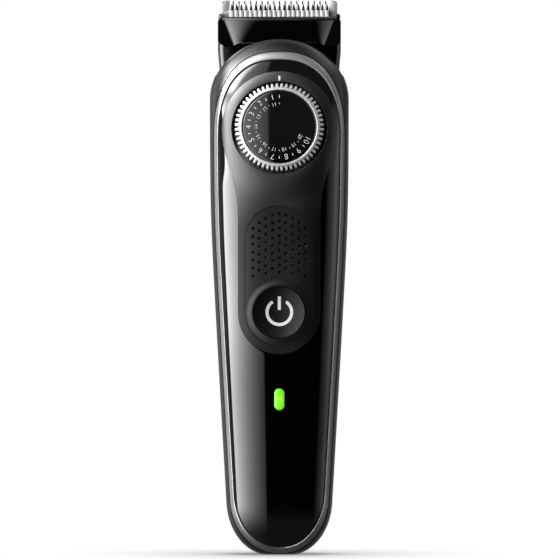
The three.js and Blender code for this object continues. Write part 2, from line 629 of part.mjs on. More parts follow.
// the fork below the pivot straddles the eccentric pin, the knob above drives the blade
function driveLever() {
  const forkInner = PIN_RADIUS + 2 * ECCENTRICITY + 0.15;
  const shape = outline([
    [forkInner, 139.5], [4.2, 139.5], [4.2, 145], [2.9, 147], [2.9, 149.5], [1.8, 152], [1.8, 161.2],
    [-1.8, 161.2], [-1.8, 152], [-2.9, 149.5], [-2.9, 147], [-4.2, 145], [-4.2, 139.5],
    [-forkInner, 139.5], [-forkInner, 143.3], [forkInner, 143.3],
  ]);
  const arm = prism(shape, 2.6, 5.4);
  return cut(join(arm, rodY(1, 0, LEVER_KNOB, 5, 6.9, 16)), rodY(1.2, 0, LEVER_PIVOT, 2, 6));
}
part(trimmer, 'drive_lever', driveLever(), GREY_PLASTIC);
part(trimmer, 'lever_pivot_pin', rodY(1, 0, LEVER_PIVOT, 0, 6.9), STEEL);

const springArms = [-1, 1].map((side) => block(side * 4.6 - 0.6, side * 4.6 + 0.6, 5.7, 6.2, 154.2, 160.5));
part(trimmer, 'blade_spring', join(block(-5.2, 5.2, 5.7, 6.2, 154.2, 155.4), ...springArms), SPRING_STEEL);
const neckSeal = cut(block(-9.2, 9.2, -2.6, 7.9, 144.2, 145.2), block(-6, 6, 1.2, 6.8, 143, 147));
part(trimmer, 'neck_seal', neckSeal, RUBBER);

export default trimmer;
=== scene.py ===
"""Fine meshes, materials, studio light and camera for the beard trimmer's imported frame.

Lengths in this file are millimetres, as on a drawing, until put_mesh() turns them into
metres. The body's curve is a formula, so every skin piece can be laid on it exactly.
"""
import json
import math

import bmesh
import bpy
import numpy as np
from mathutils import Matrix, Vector


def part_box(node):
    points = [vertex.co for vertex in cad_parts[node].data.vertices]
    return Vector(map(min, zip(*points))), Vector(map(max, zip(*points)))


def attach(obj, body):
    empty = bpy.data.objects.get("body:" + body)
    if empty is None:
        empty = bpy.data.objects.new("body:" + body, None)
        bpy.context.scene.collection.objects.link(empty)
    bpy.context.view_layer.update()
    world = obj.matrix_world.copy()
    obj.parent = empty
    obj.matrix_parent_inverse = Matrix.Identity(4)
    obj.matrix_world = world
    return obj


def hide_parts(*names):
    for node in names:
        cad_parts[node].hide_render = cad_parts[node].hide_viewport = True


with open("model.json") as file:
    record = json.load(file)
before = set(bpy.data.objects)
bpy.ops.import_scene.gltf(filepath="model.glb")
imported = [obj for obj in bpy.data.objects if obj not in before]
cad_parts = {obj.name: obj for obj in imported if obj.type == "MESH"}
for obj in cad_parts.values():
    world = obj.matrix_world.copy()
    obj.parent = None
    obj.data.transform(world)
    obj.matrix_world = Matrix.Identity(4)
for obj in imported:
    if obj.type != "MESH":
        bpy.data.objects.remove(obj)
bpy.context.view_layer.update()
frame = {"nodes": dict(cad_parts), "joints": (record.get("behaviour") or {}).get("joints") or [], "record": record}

MM = 0.001
CASING = "casing"


def node_box(name):
    """Lowest and highest corner of a CAD node in millimetres."""
    low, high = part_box(name)
    return np.array(low) / MM, np.array(high) / MM


def joint_named(name):
    return next(joint for joint in frame["joints"] if joint["name"] == name)


# ---- driving dimensions ----
SHELL_LOW, SHELL_HIGH = node_box("front_shell")
ARCH_HALF = SHELL_HIGH[0]  # widest half-width, where the arch begins
ARCH_CENTRE = 138.0
ARCH_RISE = SHELL_HIGH[2] - ARCH_CENTRE + 0.1
END_REACH = 16.0  # height over which the lower end rounds off
FRONT_POWER = 3.4
REAR_POWER = 2.4
# straight lines up the body: value at the foot, slope, loss of slope, where it bends and how softly
SIDE_LINE = (15.25, 0.0575, 0.0575, 103.5, 14)
FRONT_LINE = (12.8, 0.024, 0.2366, 114, 6)
REAR_LINE = (13, 0.045, 0.55, 138, 10)
FOOT_POWER = 2.6

DIAL_JOINT = joint_named("dial_turn")
DIAL_CENTRE = np.array(DIAL_JOINT["pos_m"]) / MM
DIAL_OUT = -np.array(DIAL_JOINT["axis"])  # out of the dial, towards the thumb
DIAL_UP = np.array([0.0, DIAL_OUT[2], -DIAL_OUT[1]])
DIAL_Z = DIAL_CENTRE[2]
WELL_RADIUS = 14.25  # round opening that the dial sits in

KEY_RADIUS = 17.05  # keyhole panel around the dial
KEY_LOW_HALF = 12.4  # and around the button
KEY_LOW_Z = 73.6
KEY_NECK_Z = 103.0
PAD_HALF = 10.3
PAD_LOW_Z = 74.1
PAD_HIGH_Z = 96.0
BUTTON_LOW, BUTTON_HIGH = node_box("power_button")
BUTTON_Z = (BUTTON_LOW[2] + BUTTON_HIGH[2]) / 2
BUTTON_RADIUS = (BUTTON_HIGH[2] - BUTTON_LOW[2]) / 2
LENS_LOW, LENS_HIGH = node_box("status_lens")

BELOW, ABOVE, FAR = -5, 180.0, 40.0  # past the body on every side
WIDE, TALL = (-FAR, FAR), (BELOW, ABOVE)


# ---- the body's form ----
def soft_ramp(t, softness):
    return (t + np.hypot(t, softness)) / 2


def end_round(rise, reach, power):
    share = np.clip(rise / reach, 0.0, 1.0)
    return (1 - (1 - share) ** 2) ** (1 / power)


def bent_line(z, start, slope, bend, bend_z, softness):
    return start + slope * z - bend * soft_ramp(z - bend_z, softness)


def side_taper(z):
    return bent_line(z, *SIDE_LINE)


def side_half(z):
    return side_taper(z) * end_round(z + 0.6, END_REACH, FOOT_POWER)


def front_depth(z):
    return bent_line(z, *FRONT_LINE) * end_round(z + 0.6, END_REACH, FOOT_POWER)


def rear_depth(z):
    return bent_line(z, *REAR_LINE) * end_round(z + 1.3, END_REACH, FOOT_POWER)


def share_of(x, z):
    """0 on the centre line, 1 on the body's outline in the front view."""
    climb = np.maximum(0.0, (z - ARCH_CENTRE) / ARCH_RISE)
    side = np.abs(x) / side_half(np.minimum(z, ARCH_CENTRE))
    return np.where(climb > 0, np.hypot(np.abs(x) / ARCH_HALF, climb), side)


def skin(x, z, lift=0.0, rear=False):
    """Points on the body's front or rear skin above (x, z), lifted along the normal."""
    x, z, lift = np.broadcast_arrays(*(np.asarray(a, float) for a in (x, z, lift)))
    depth, power, way = (rear_depth, REAR_POWER, 1.0) if rear else (front_depth, FRONT_POWER, -1.0)
    share = np.clip(share_of(x, z), 0.0, 1.0)
    part = (1 - share ** power) ** (1 / power)
    step = 0.02
    share_x = (share_of(x + step, z) - share_of(x - step, z)) / (2 * step)
    share_z = (share_of(x, z + step) - share_of(x, z - step)) / (2 * step)
    depth_z = (depth(z + step) - depth(z - step)) / (2 * step)
    slope = share ** (power - 1)
    wall = part ** (power - 1)
    normal = np.stack([slope * share_x, way * wall / depth(z),
                       slope * share_z - wall * part * depth_z / depth(z)], axis=-1)
    normal /= np.linalg.norm(normal, axis=-1, keepdims=True)
    point = np.stack([x, way * depth(z) * part, z], axis=-1)
    return point + normal * lift[..., None]


# ---- outlines, as tests for "is this front-view point inside?" ----
BULGE_Z = 126.0
RING_OUTER_EDGE = (1.25, 0.5, 152.9)  # side inset, bottom and top
RING_INNER_EDGE = (2.4, 2.05, 150.65)
GLOSS_EDGE = (2.8, 2.45, 150.25)
SEAT_EDGE = (1.0, 0.25, 153.15)


def panel_width(side_inset, bottom, top):
    def width(z):
        side = side_taper(np.minimum(z, BULGE_Z)) - side_inset
        rise = np.clip((z - BULGE_Z) / (top - BULGE_Z), 0.0, 1.0)
        low = side * end_round(z - bottom, END_REACH, 2.2)
        high = side * (1 - rise ** 2.4) ** (1 / 2.4)
        return np.where((z < bottom) | (z > top), -1.0, np.where(z > BULGE_Z, high, low))
    return width


def keyhole_width(grow=0.0):
    t = np.linspace(0.0, 1.0, 200)[:, None]
    corners = [(KEY_LOW_HALF, KEY_NECK_Z), (KEY_LOW_HALF, 116.0), (KEY_RADIUS, 119.0), (KEY_RADIUS, DIAL_Z)]
    curve = sum(weight * np.array(corner) for weight, corner in zip(
        ((1 - t) ** 3, 3 * t * (1 - t) ** 2, 3 * t ** 2 * (1 - t), t ** 3), corners))

    def width(z):
        upper, lower = KEY_RADIUS + grow, KEY_LOW_HALF + grow
        side = np.interp(z, curve[:, 1], curve[:, 0]) + grow
        side = np.where(z > DIAL_Z, np.sqrt(np.maximum(0, upper ** 2 - (z - DIAL_Z) ** 2)), side)
        side = np.where(z < KEY_LOW_Z, np.sqrt(np.maximum(0, lower ** 2 - (z - KEY_LOW_Z) ** 2)), side)
        return np.where((z > DIAL_Z + upper) | (z < KEY_LOW_Z - lower), -1.0, side)
    return width


def stadium_width(half, low, high):
    def width(z):
        over = np.maximum(0, z - high) + np.maximum(0, low - z)
        return np.where(over > half, -1.0, np.sqrt(np.maximum(0, half ** 2 - over ** 2)))
    return width


def within(width, low=-1000.0, high=1000.0):
    return lambda x, z: (np.abs(x) <= width(z)) & (z >= low) & (z <= high)


def in_dial_well(x, z):
    over_dial = (skin(x, z) - DIAL_CENTRE) @ DIAL_UP
    return np.hypot(x, over_dial) <= WELL_RADIUS


def fan(centre, start, stop, count):
    """Rays of the right half from (0, centre), between two angles in degrees."""
    angles = np.radians(np.linspace(start, stop, count))
    return [(0.0, centre, math.cos(a), math.sin(a)) for a in angles]


def level_rays(low, high, count):
    return [(0.0, z, 1.0, 0.0) for z in np.linspace(low, high, count)]


def rays_through(centre, xs, z):
    """Rays from (0, centre) through the points (x, z)."""
    rise = z - centre
    return [(0.0, centre, x / math.hypot(x, rise), rise / math.hypot(x, rise)) for x in xs]


def reach(stations, inside):
    """Front-view points where the rays leave an outline."""
    stations = np.array(stations)
    start, way = stations[:, :2], stations[:, 2:]
    near = np.zeros(len(start))
    far = np.full(len(start), 200.0)
    for _ in range(46):
        middle = (near + far) / 2
        spot = start + middle[:, None] * way
        hit = inside(spot[:, 0], spot[:, 1])
        near = np.where(hit, middle, near)
        far = np.where(hit, far, middle)
    return start + near[:, None] * way


def both_halves(right):
    """A right-hand run of points, bottom to top, closed by its mirror image."""
    left = right[::-1] * np.array([-1.0, 1.0])
    return np.concatenate([right, left, right[:1]])


def band(inner, outer, shares, lift):
    """Skin points between two closed runs; lift(x, z, share) says how proud they stand."""
    shares = np.asarray(shares)[:, None, None]
    flat = inner * (1 - shares) + outer * shares
    x, z = flat[..., 0], flat[..., 1]
    return skin(x, z, lift(x, z, np.broadcast_to(shares[..., 0], x.shape)))


def outline_levels(width, low, high, count):
    """Heights up an outline, closer together at its two ends, and its half-width at each."""
    angle = np.linspace(0, math.pi, count)
    z = low + (high - low) * (1 - np.cos(angle)) / 2
    return z, np.maximum(0, width(np.clip(z, low + 1e-9, high - 1e-9)))


def level_grid(width, low, high, rows, columns, lift, rear=False):
    """Skin points in level rows across an outline."""
    z, half = outline_levels(width, low, high, rows)
    x = np.linspace(-1, 1, columns)[None, :] * half[:, None]
    z = np.broadcast_to(z[:, None], x.shape)
    return skin(x, z, lift(x, z), rear)


def flat(level):
    return lambda x, z, share=None: np.full(np.shape(x), float(level))


def smooth_step(t):
    t = np.clip(t, 0.0, 1.0)
    return t * t * (3 - 2 * t)


# ---- mesh making ----
def grid_faces(rows, columns, first=0):
    return [(first + r * columns + c, first + r * columns + c + 1,
             first + (r + 1) * columns + c + 1, first + (r + 1) * columns + c)
            for r in range(rows - 1) for c in range(columns - 1)]


def put_mesh(name, points, faces, facing=None, sharp=35):
    """A mesh object from millimetre points: welded, facing out, smooth but for sharp edges."""
    mesh = bpy.data.meshes.new(name)
    mesh.from_pydata((np.asarray(points, float).reshape(-1, 3) * MM).tolist(), [], faces)
    build = bmesh.new()
    build.from_mesh(mesh)
    bmesh.ops.remove_doubles(build, verts=build.verts, dist=2e-6)
    bmesh.ops.dissolve_degenerate(build, edges=build.edges, dist=1e-7)
    bmesh.ops.recalc_face_normals(build, faces=build.faces)
    if facing is not None and sum(face.normal.dot(facing) for face in build.faces) < 0:
        bmesh.ops.reverse_faces(build, faces=build.faces)
    build.to_mesh(mesh)
    build.free()
    piece = bpy.data.objects.new(name, mesh)
    bpy.context.scene.collection.objects.link(piece)
    shade(piece, sharp)
    return piece


def shade(piece, sharp):
    mesh = piece.data
    mesh.polygons.foreach_set("use_smooth", [True] * len(mesh.polygons))
    mesh.set_sharp_from_angle(angle=math.radians(sharp))


def put_grids(name, grids, facing=None, sharp=35):
    """One mesh from several grids of points, each rows x columns x 3."""
    points, faces, first = [], [], 0
    for grid in grids:
        rows, columns = grid.shape[:2]
        faces += grid_faces(rows, columns, first)
        points.append(grid.reshape(-1, 3))
        first += rows * columns
    return put_mesh(name, np.concatenate(points), faces, facing, sharp)


def capped(loops, closing=0):
    """Level loops of points and a fan over each end; the last `closing` points repeat the first."""
    count = len(loops[0]) - closing
    ends = [np.stack([row, np.broadcast_to(row[:count].mean(0), row.shape)]) for row in (loops[0], loops[-1])]
    return [loops, *ends]


def bake(piece, sharp=35):
    """Applies a piece's modifiers to its mesh."""
    evaluated = piece.evaluated_get(bpy.context.evaluated_depsgraph_get())
    mesh = bpy.data.meshes.new_from_object(evaluated)
    piece.modifiers.clear()
    piece.data = mesh
    shade(piece, sharp)
    return piece


def add_bevel(piece, width, segments=2, angle=40):
    rim = piece.modifiers.new("rim", "BEVEL")
    rim.width = width * MM
    rim.segments = segments
    rim.limit_method = "ANGLE"
    rim.angle_limit = math.radians(angle)
    return piece


def thicken(piece, depth, bevel, segments=3):
    """Gives a sheet its thickness, inwards, and rounds its rim."""
    body = piece.modifiers.new("thickness", "SOLIDIFY")
    body.thickness = depth * MM
    body.offset = -1
    if bevel:
        add_bevel(piece, bevel, segments)
    return bake(piece)


def boolean(piece, tools, operation="DIFFERENCE", sharp=35):
    """Cuts or joins with throw-away tools."""
    for tool in tools:
        step = piece.modifiers.new("boolean", "BOOLEAN")
        step.object = tool
        step.operation = operation
        step.solver = "MANIFOLD"
    bake(piece, sharp)
    for tool in tools:
        bpy.data.objects.remove(tool)
    return piece


def box_tool(x=WIDE, y=WIDE, z=TALL):
    """A block that reaches past the body wherever it isn't bounded."""
    corners = [(a, b, c) for a in x for b in y for c in z]
    faces = [(0, 1, 3, 2), (4, 6, 7, 5), (0, 4, 5, 1), (2, 3, 7, 6), (0, 2, 6, 4), (1, 5, 7, 3)]
    return put_mesh("tool", corners, faces)


def prism(name, outline, y0, y1):
    """A front-view outline pushed along Y."""
    count = len(outline)
    points = [(x, y0, z) for x, z in outline] + [(x, y1, z) for x, z in outline]
    faces = [tuple(range(count)), tuple(range(2 * count - 1, count - 1, -1))]
    faces += [(i, i + count, (i + 1) % count + count, (i + 1) % count) for i in range(count)]
    return put_mesh(name, points, faces)


def circle(radius, x, z, count=64):
    angles = np.linspace(0, 2 * math.pi, count, endpoint=False)
    return [(x + radius * math.cos(a), z + radius * math.sin(a)) for a in angles]


def rod_tool(radius, x, z, y0, y1):
    return prism("tool", circle(radius, x, z), y0, y1)


def spin(name, profile, segments, place, ripple=None, sharp=35):
    """A turned solid from (radius, height) pairs that start and end on the axis or close up."""
    profile = np.array(profile, float)
    angles = np.linspace(0, 2 * math.pi, segments + 1)
    radius = np.repeat(profile[:, :1], segments + 1, axis=1)
    height = np.repeat(profile[:, 1:2], segments + 1, axis=1)
    if ripple is not None:
        radius = ripple(radius, height, angles[None, :])
    grid = np.stack([radius * np.cos(angles), radius * np.sin(angles), height], axis=-1)
    return put_grids(name, [place(grid)], sharp=sharp)


def dial_place(points):
    """From the dial's own space (right, up the dial, out of it) to the body's."""
    return DIAL_CENTRE + np.asarray(points) @ np.array([(1.0, 0.0, 0.0), DIAL_UP, DIAL_OUT])


def finish_piece(piece, body, slot, look, *stands_for):
    """Rides a piece on its body and gives it its look."""
    piece.data.materials.clear()
    piece.data.materials.append(look)
    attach(piece, body)
    if stands_for:
        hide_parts(*stands_for)
    return piece


# ---- materials ----
def fill(tree, node, inputs):
    """Sets a node's inputs: each is a value, or (node, output) to link from."""
    for socket, value in inputs.items():
        if isinstance(value, tuple) and hasattr(value[0], "outputs"):
            tree.links.new(value[0].outputs[value[1]], node.inputs[socket])
        else:
            node.inputs[socket].default_value = value
    return node


def add_node(tree, kind, inputs=None, **settings):
    node = tree.nodes.new("ShaderNode" + kind)
    for name, value in settings.items():
        setattr(node, name, value)
    return fill(tree, node, inputs or {})


def map_range(tree, source, low, high, bottom, top, shape="LINEAR"):
    return add_node(tree, "MapRange", {"Value": source, "From Min": low, "From Max": high,
                                                 "To Min": bottom, "To Max": top}, interpolation_type=shape)


def smooth_range(tree, source, low, high, bottom, top):
    return map_range(tree, source, low, high, bottom, top, "SMOOTHSTEP")


def spread(tree, noise, low, high):
    """Maps a noise, which mostly lies between 0.3 and 0.7, to low..high."""
    return map_range(tree, (noise, "Fac"), 0.3, 0.7, low, high)


def noise_at(tree, place, size_mm, detail=2.0, stretch=(1, 1, 1)):
    """Noise whose grains are size_mm across, in the piece's own space."""
    per_grain = [1 / (MM * size_mm * s) for s in stretch]
    scale = add_node(tree, "VectorMath", {0: (place, "Object"), 1: per_grain}, operation="MULTIPLY")
    return add_node(tree, "TexNoise", {"Scale": 1.0, "Detail": detail, "Vector": (scale, "Vector")})


def surface(name, colour, roughness, metallic=0.0, uneven=0.1, tint=0.08, grain_mm=0.2,
            bump_mm=0.0, wear_and_edge_highlight=0.0, coat=0.0, specular=1.0, stretch=(1, 1, 1)):
    """A material with slow colour and roughness drift, a fine grain in relief, and convex edges lightened, partly
    as wear and partly as a painted edge highlight.
    """
    look = bpy.data.materials.new(name)
    look.use_nodes = True
    tree = look.node_tree
    place = add_node(tree, "TexCoord")
    drift = noise_at(tree, place, 9.0, 3.0)
    grain = noise_at(tree, place, grain_mm, 2.0, stretch)

    strength = spread(tree, drift, 1 - tint, 1 + tint)
    base = add_node(tree, "VectorMath", {0: colour, "Scale": (strength, "Result")}, operation="SCALE")
    edges = add_node(tree, "NewGeometry")
    # convex edges lightened by pointiness: partly wear, partly a painted edge highlight
    worn_and_lit_edge = map_range(tree, (edges, "Pointiness"), 0.53, 0.62, 0.0, wear_and_edge_highlight)
    wear_and_highlight_colour = [min(1.0, 0.12 + 1.6 * c) for c in colour] + [1.0]
    mixed = add_node(tree, "Mix", {"Factor": (worn_and_lit_edge, "Result"), "A": (base, "Vector"),
                                             "B": wear_and_highlight_colour}, data_type="RGBA")
    rough = spread(tree, grain, roughness * (1 - uneven), roughness * (1 + uneven))
    relief = add_node(tree, "Bump", {"Distance": bump_mm * MM, "Strength": 1.0,
                                               "Height": (grain, "Fac")})
    fill(tree, tree.nodes["Principled BSDF"], {
        "Base Color": (mixed, "Result"), "Roughness": (rough, "Result"), "Metallic": metallic,
        "Specular IOR Level": specular, "Coat Weight": coat, "Coat Roughness": 0.04,
        "Normal": (relief, "Normal")})
    return look


def vary_with_height(look, setting, low, high, bottom, top):
    """Drives one of a look's settings by the height in millimetres."""
    tree = look.node_tree
    place = add_node(tree, "TexCoord")
    height = add_node(tree, "SeparateXYZ", {"Vector": (place, "Object")})
    level = smooth_range(tree, (height, "Z"), low * MM, high * MM, bottom, top)
    fill(tree, tree.nodes["Principled BSDF"], {setting: (level, "Result")})
    return look


def gloss_plastic():
    """Piano black with painted shade: its clear coat is taken away towards the foot, so that its reflections fade
    lower down.
    """
    look = surface("gloss_black_plastic", (0.0008, 0.0008, 0.001), 0.035, uneven=0.35, grain_mm=2.5,
                   bump_mm=0.0006)
    # painted shade: the coat's reflection is full above 80 mm and gone below 45 mm
    return vary_with_height(look, "Coat Weight", 45, 80, 0.0, 1.0)


def panel_plastic():
    """Matte plastic with painted light: its sheen is stronger near the dial and weaker down towards the button,
    where the light falls off.
    """
    look = surface("panel_black_plastic", (0.003, 0.003, 0.0034), 0.28, grain_mm=0.16, bump_mm=0.005)
    # painted light and shade: specular level 1.15 above 114 mm, 0.42 below 98 mm
    return vary_with_height(look, "Specular IOR Level", 98, 114, 0.42, 1.15)


def silver(name, colour, roughness, metallic):
    return surface(name, colour, roughness, metallic, uneven=0.12, tint=0.03, grain_mm=0.3, bump_mm=0.0008)


def glowing_lens():
    """A lit light pipe: yellow-green and brightest in the middle, deeper green at the rim."""
    look = surface("lit_green_lens", (0.10, 0.42, 0.01), 0.22, grain_mm=0.5, bump_mm=0.003, coat=0.6)
    tree = look.node_tree
    place = add_node(tree, "TexCoord")
    centre = (LENS_LOW + LENS_HIGH) / 2 * MM
    half = (LENS_HIGH - LENS_LOW) / 2 * MM
    origin = (centre[0], LENS_LOW[1] * MM, centre[2])
    offset = add_node(tree, "VectorMath", {0: (place, "Object"), 1: origin}, operation="SUBTRACT")
    squeeze = add_node(tree, "VectorMath", {0: (offset, "Vector"), 1: (1 / half[0], 0.0, 1 / half[2])},
                       operation="MULTIPLY")
    radius = add_node(tree, "VectorMath", {0: (squeeze, "Vector")}, operation="LENGTH")
    ramp = add_node(tree, "ValToRGB", {"Fac": (radius, "Value")})
    middle, rim = ramp.color_ramp.elements
    middle.color = (0.36, 0.92, 0.0, 1)
    rim.position = 0.95
    rim.color = (0.05, 0.45, 0.0, 1)
    fill(tree, tree.nodes["Principled BSDF"], {"Emission Color": (ramp, "Color"), "Emission Strength": 0.85})
    return look


LOOKS = {
    "matte_black": surface("matte_black_plastic", (0.0045, 0.0045, 0.005), 0.28, grain_mm=0.16, bump_mm=0.005,
                           wear_and_edge_highlight=0.1),
    "gloss_black": gloss_plastic(),
    "soft_black": surface("soft_touch_black", (0.0036, 0.0036, 0.004), 0.30, grain_mm=0.13, bump_mm=0.005,
                          specular=0.45),
    "rubber_black": surface("moulded_rubber", (0.008, 0.008, 0.0085), 0.62, grain_mm=0.2, bump_mm=0.014,
                            wear_and_edge_highlight=0.2),
    "satin_silver": silver("satin_chrome", (0.36, 0.365, 0.375), 0.32, 0.82),
    "blade_steel": surface("brushed_blade_steel", (0.62, 0.62, 0.64), 0.36, 0.72, uneven=0.3, tint=0.05,
                           grain_mm=0.12, bump_mm=0.003, stretch=(12, 1, 1)),
    # ground finish, with its colour darkened far below steel's as painted shade so the leaning faces read dark
    "ground_and_shaded_steel": surface("ground_blade_edge_painted_shade", (0.16, 0.16, 0.17), 0.16, 1.0, uneven=0.3, tint=0.05,
                            grain_mm=0.1, bump_mm=0.001, stretch=(1, 1, 12)),
    "dial_silver": silver("satin_dial_silver", (0.50, 0.505, 0.515), 0.36, 0.62),
    "panel_black": panel_plastic(),
    "spring_steel": surface("spring_steel_sheet", (0.5, 0.49, 0.47), 0.3, 1.0, uneven=0.3, grain_mm=0.2,
                            bump_mm=0.003, stretch=(1, 1, 8)),
    "brass_contact": surface("plated_brass", (0.72, 0.52, 0.2), 0.28, 1.0, uneven=0.25, grain_mm=0.25,
                             bump_mm=0.002),
    "grey_plastic": surface("grey_moulding", (0.13, 0.135, 0.145), 0.5, grain_mm=0.3, bump_mm=0.008,
                            wear_and_edge_highlight=0.2),
    "board_green": surface("green_solder_mask", (0.012, 0.10, 0.035), 0.35, tint=0.25, grain_mm=1.2,
                           bump_mm=0.02),
    "cell_wrap": surface("shrink_sleeve", (0.02, 0.10, 0.24), 0.3, tint=0.12, grain_mm=1.0, bump_mm=0.02,
                         stretch=(1, 1, 6)),
    "lead_red": surface("red_insulation", (0.45, 0.02, 0.015), 0.4, tint=0.1, grain_mm=0.4, bump_mm=0.006),
    "lens_green": glowing_lens(),
    "print": surface("pale_print", (0.50, 0.51, 0.53), 0.5, tint=0.05, grain_mm=0.1, bump_mm=0.003),
}


# ---- body shells ----
BODY_TOP = ARCH_CENTRE + ARCH_RISE - 0.1
WALL = 2.8
SEAM_GAP = 0.15  # from the split plane to each shell's edge
SEAT_DEPTH = 1.6
HEAD_LOW, HEAD_HIGH = node_box("head_housing")
GRIP_LOW_Z, GRIP_HIGH_Z = 15.0, 121.0


def body_solid(inset, levels, columns):
    """The whole body as one closed skin, moved inwards by inset."""
    share = np.linspace(0, 1, levels)
    z = (BODY_TOP * (1 - np.cos(math.pi * share)) / 2)[:, None]
    climb = np.maximum(0, (z - ARCH_CENTRE) / ARCH_RISE)
    arch_half = side_taper(ARCH_CENTRE) - inset
    width = np.where(climb > 0, arch_half * np.sqrt(np.maximum(0, 1 - climb ** 2)), side_half(z) - inset)
    angle = np.linspace(0, 2 * math.pi, columns + 1)[None, :]
    front = np.sin(angle) < 0
    power = np.where(front, FRONT_POWER, REAR_POWER)
    x = width * np.sign(np.cos(angle)) * np.abs(np.cos(angle)) ** (2 / power)
    share = np.clip(np.where(climb > 0, np.hypot(x / arch_half, climb), np.abs(x) / width), 0, 1)
    depth = np.where(front, inset - front_depth(z), rear_depth(z) - inset)
    y = depth * (1 - share ** power) ** (1 / power)
    squeeze = (BODY_TOP - 2 * inset) / BODY_TOP
    grid = np.stack([x, y, inset + z * squeeze + 0 * x], axis=-1)
    return put_grids("tool", capped(grid))


def outline_of(width, low, high, count):
    z, x = outline_levels(width, low, high, count)
    return list(zip(x, z)) + [(-a, b) for a, b in reversed(list(zip(x, z))[1:-1])]


def shell_room():
    """Tools for the hollow inside both shells, the head's opening and the socket's."""
    gap = 0.3
    hollow = boolean(body_solid(WALL, 60, 96), [box_tool(z=(HEAD_LOW[2] - 0.2, ABOVE))])
    low, high = node_box("charging_socket")
    head_room = box_tool(y=(HEAD_LOW[1] - gap, HEAD_HIGH[1] + gap), z=(HEAD_LOW[2] - 0.5, ABOVE))
    socket = box_tool((low[0] - gap, high[0] + gap), (low[1] - gap, high[1] + gap), (-1, 6))
    return [hollow, head_room, socket]


def foot_lip():
    """A tongue across the seam below the side seals, so that no light passes there."""
    top = node_box("shell_seal_left")[0][2] + 1
    return boolean(body_solid(1.2, 60, 96), [
        body_solid(2.2, 60, 96), box_tool(y=(-FAR, -0.6)), box_tool(y=(0.1, FAR)),
        box_tool(z=(top, ABOVE)), box_tool((-8, 8))])


def front_shell():
    shell = body_solid(0, 300, 360)
    seat = prism("tool", outline_of(panel_width(*SEAT_EDGE), *SEAT_EDGE[1:], 260), -FAR, -4)
    seat = boolean(seat, [body_solid(SEAT_DEPTH, 120, 180), box_tool(y=(-4.8, 0), z=(BELOW, 10))])
    shaft = rod_tool(3.5, 0, DIAL_Z, -20, 0)
    stem = rod_tool(2.2, 0, BUTTON_Z, -20, -5)
    pocket = rod_tool(BUTTON_RADIUS + 0.1, 0, BUTTON_Z, -20, float(skin(0, BUTTON_Z)[1]) + 2.3)
    tools = [box_tool(y=(-SEAM_GAP, FAR)), *shell_room(), seat, shaft, stem, pocket]
    return boolean(boolean(shell, tools), [foot_lip()], "UNION")


def grip_width(grow):
    low, high = GRIP_LOW_Z - grow, GRIP_HIGH_Z + grow

    def width(z):
        return (side_taper(z) - 3.6 + grow) * end_round(z - low, 11, 2.2) * end_round(high - z, 13, 2.2)
    return width


def screw_spots():
    """Each shell screw's centre (x, z), and the y of its head's outer face."""
    for number in range(1, 5):
        low, high = node_box(f"shell_screw_{number}")
        yield (low[0] + high[0]) / 2, (low[2] + high[2]) / 2, high[1]


def rear_shell():
    shell = body_solid(0, 300, 360)
    seat = prism("tool", outline_of(grip_width(0.3), GRIP_LOW_Z - 0.3, GRIP_HIGH_Z + 0.3, 200), 3, FAR)
    seat = boolean(seat, [body_solid(1.5, 120, 180)])
    channel = [box_tool((-9.4, 9.4), (8.5, 13), (132, 141)), box_tool((-7.6, 7.6), (8.5, 13), (140, ABOVE)),
               box_tool((-7.6, 7.6), (8.5, FAR), (143.5, ABOVE))]
    halves = [box_tool(y=(-FAR, SEAM_GAP)), box_tool(z=(150.5, ABOVE))]
    boolean(shell, [*halves, *shell_room(), seat, *channel])
    for x, z, head_y in screw_spots():
        wall_y = float(skin(x, z, 0, rear=True)[1])
        boolean(shell, [rod_tool(2.6, x, z, 0.2, wall_y - 1.7)], "UNION")
        boolean(shell, [rod_tool(1.2, x, z, -1, head_y), rod_tool(2.1, x, z, head_y - 1.6, FAR)])
    return shell


def rear_grip():
    """Soft pad with shallow cross ribs that fade out towards its rim."""
    width = grip_width(0)
    pitch = 3.4

    def lift(x, z):
        rim = 1 - np.abs(x) / np.maximum(width(z), 0.1)
        fade = smooth_step(rim / 0.25) * smooth_step((z - 26) / 8) * smooth_step((110 - z) / 8)
        wave = np.abs(np.cos(math.pi * (z - 0.018 * x ** 2) / pitch)) ** 0.6
        return 0.28 - 0.42 * fade * (1 - wave)

    grid = level_grid(width, GRIP_LOW_Z, GRIP_HIGH_Z, 560, 72, lift, rear=True)
    return thicken(put_grids("rear_grip", [grid], facing=(0, 1, 0)), 1.3, 0.25)


# ---- front skin ----
RING_PROUD = 0.15
CONTROL_PROUD = 0.3
PAD_PROUD = 0.5
COLLAR_RISE = 0.9  # at the dial's edge
COLLAR_REACH = 9.0
SKIN_DEPTH = 1.3
LENS_STADIUM = (LENS_HIGH[0], LENS_LOW[2] + LENS_HIGH[0], LENS_HIGH[2] - LENS_HIGH[0])


def trim_ring():
    """Closed band with a softly crowned face and rounded edges."""
    stations = fan(18, -90, 0, 150) + level_rays(18, 126, 160)[1:-1] + fan(126, 0, 90, 110)
    outer = both_halves(reach(stations, within(panel_width(*RING_OUTER_EDGE))))
    inner = both_halves(reach(stations, within(panel_width(*RING_INNER_EDGE))))
    crown = [(0.5 - 0.5 * math.cos(a), RING_PROUD - 0.14 + 0.14 * math.sin(a) ** 0.7)
             for a in np.linspace(0, math.pi, 15)]
    profile = [(0, -SKIN_DEPTH), *crown, (1, -SKIN_DEPTH), (0, -SKIN_DEPTH)]
    rows = []
    for share, height in profile:
        flat_row = outer * (1 - share) + inner * share
        rows.append(skin(flat_row[:, 0], flat_row[:, 1], height))
    return put_grids("trim_ring", [np.stack(rows)], sharp=60)


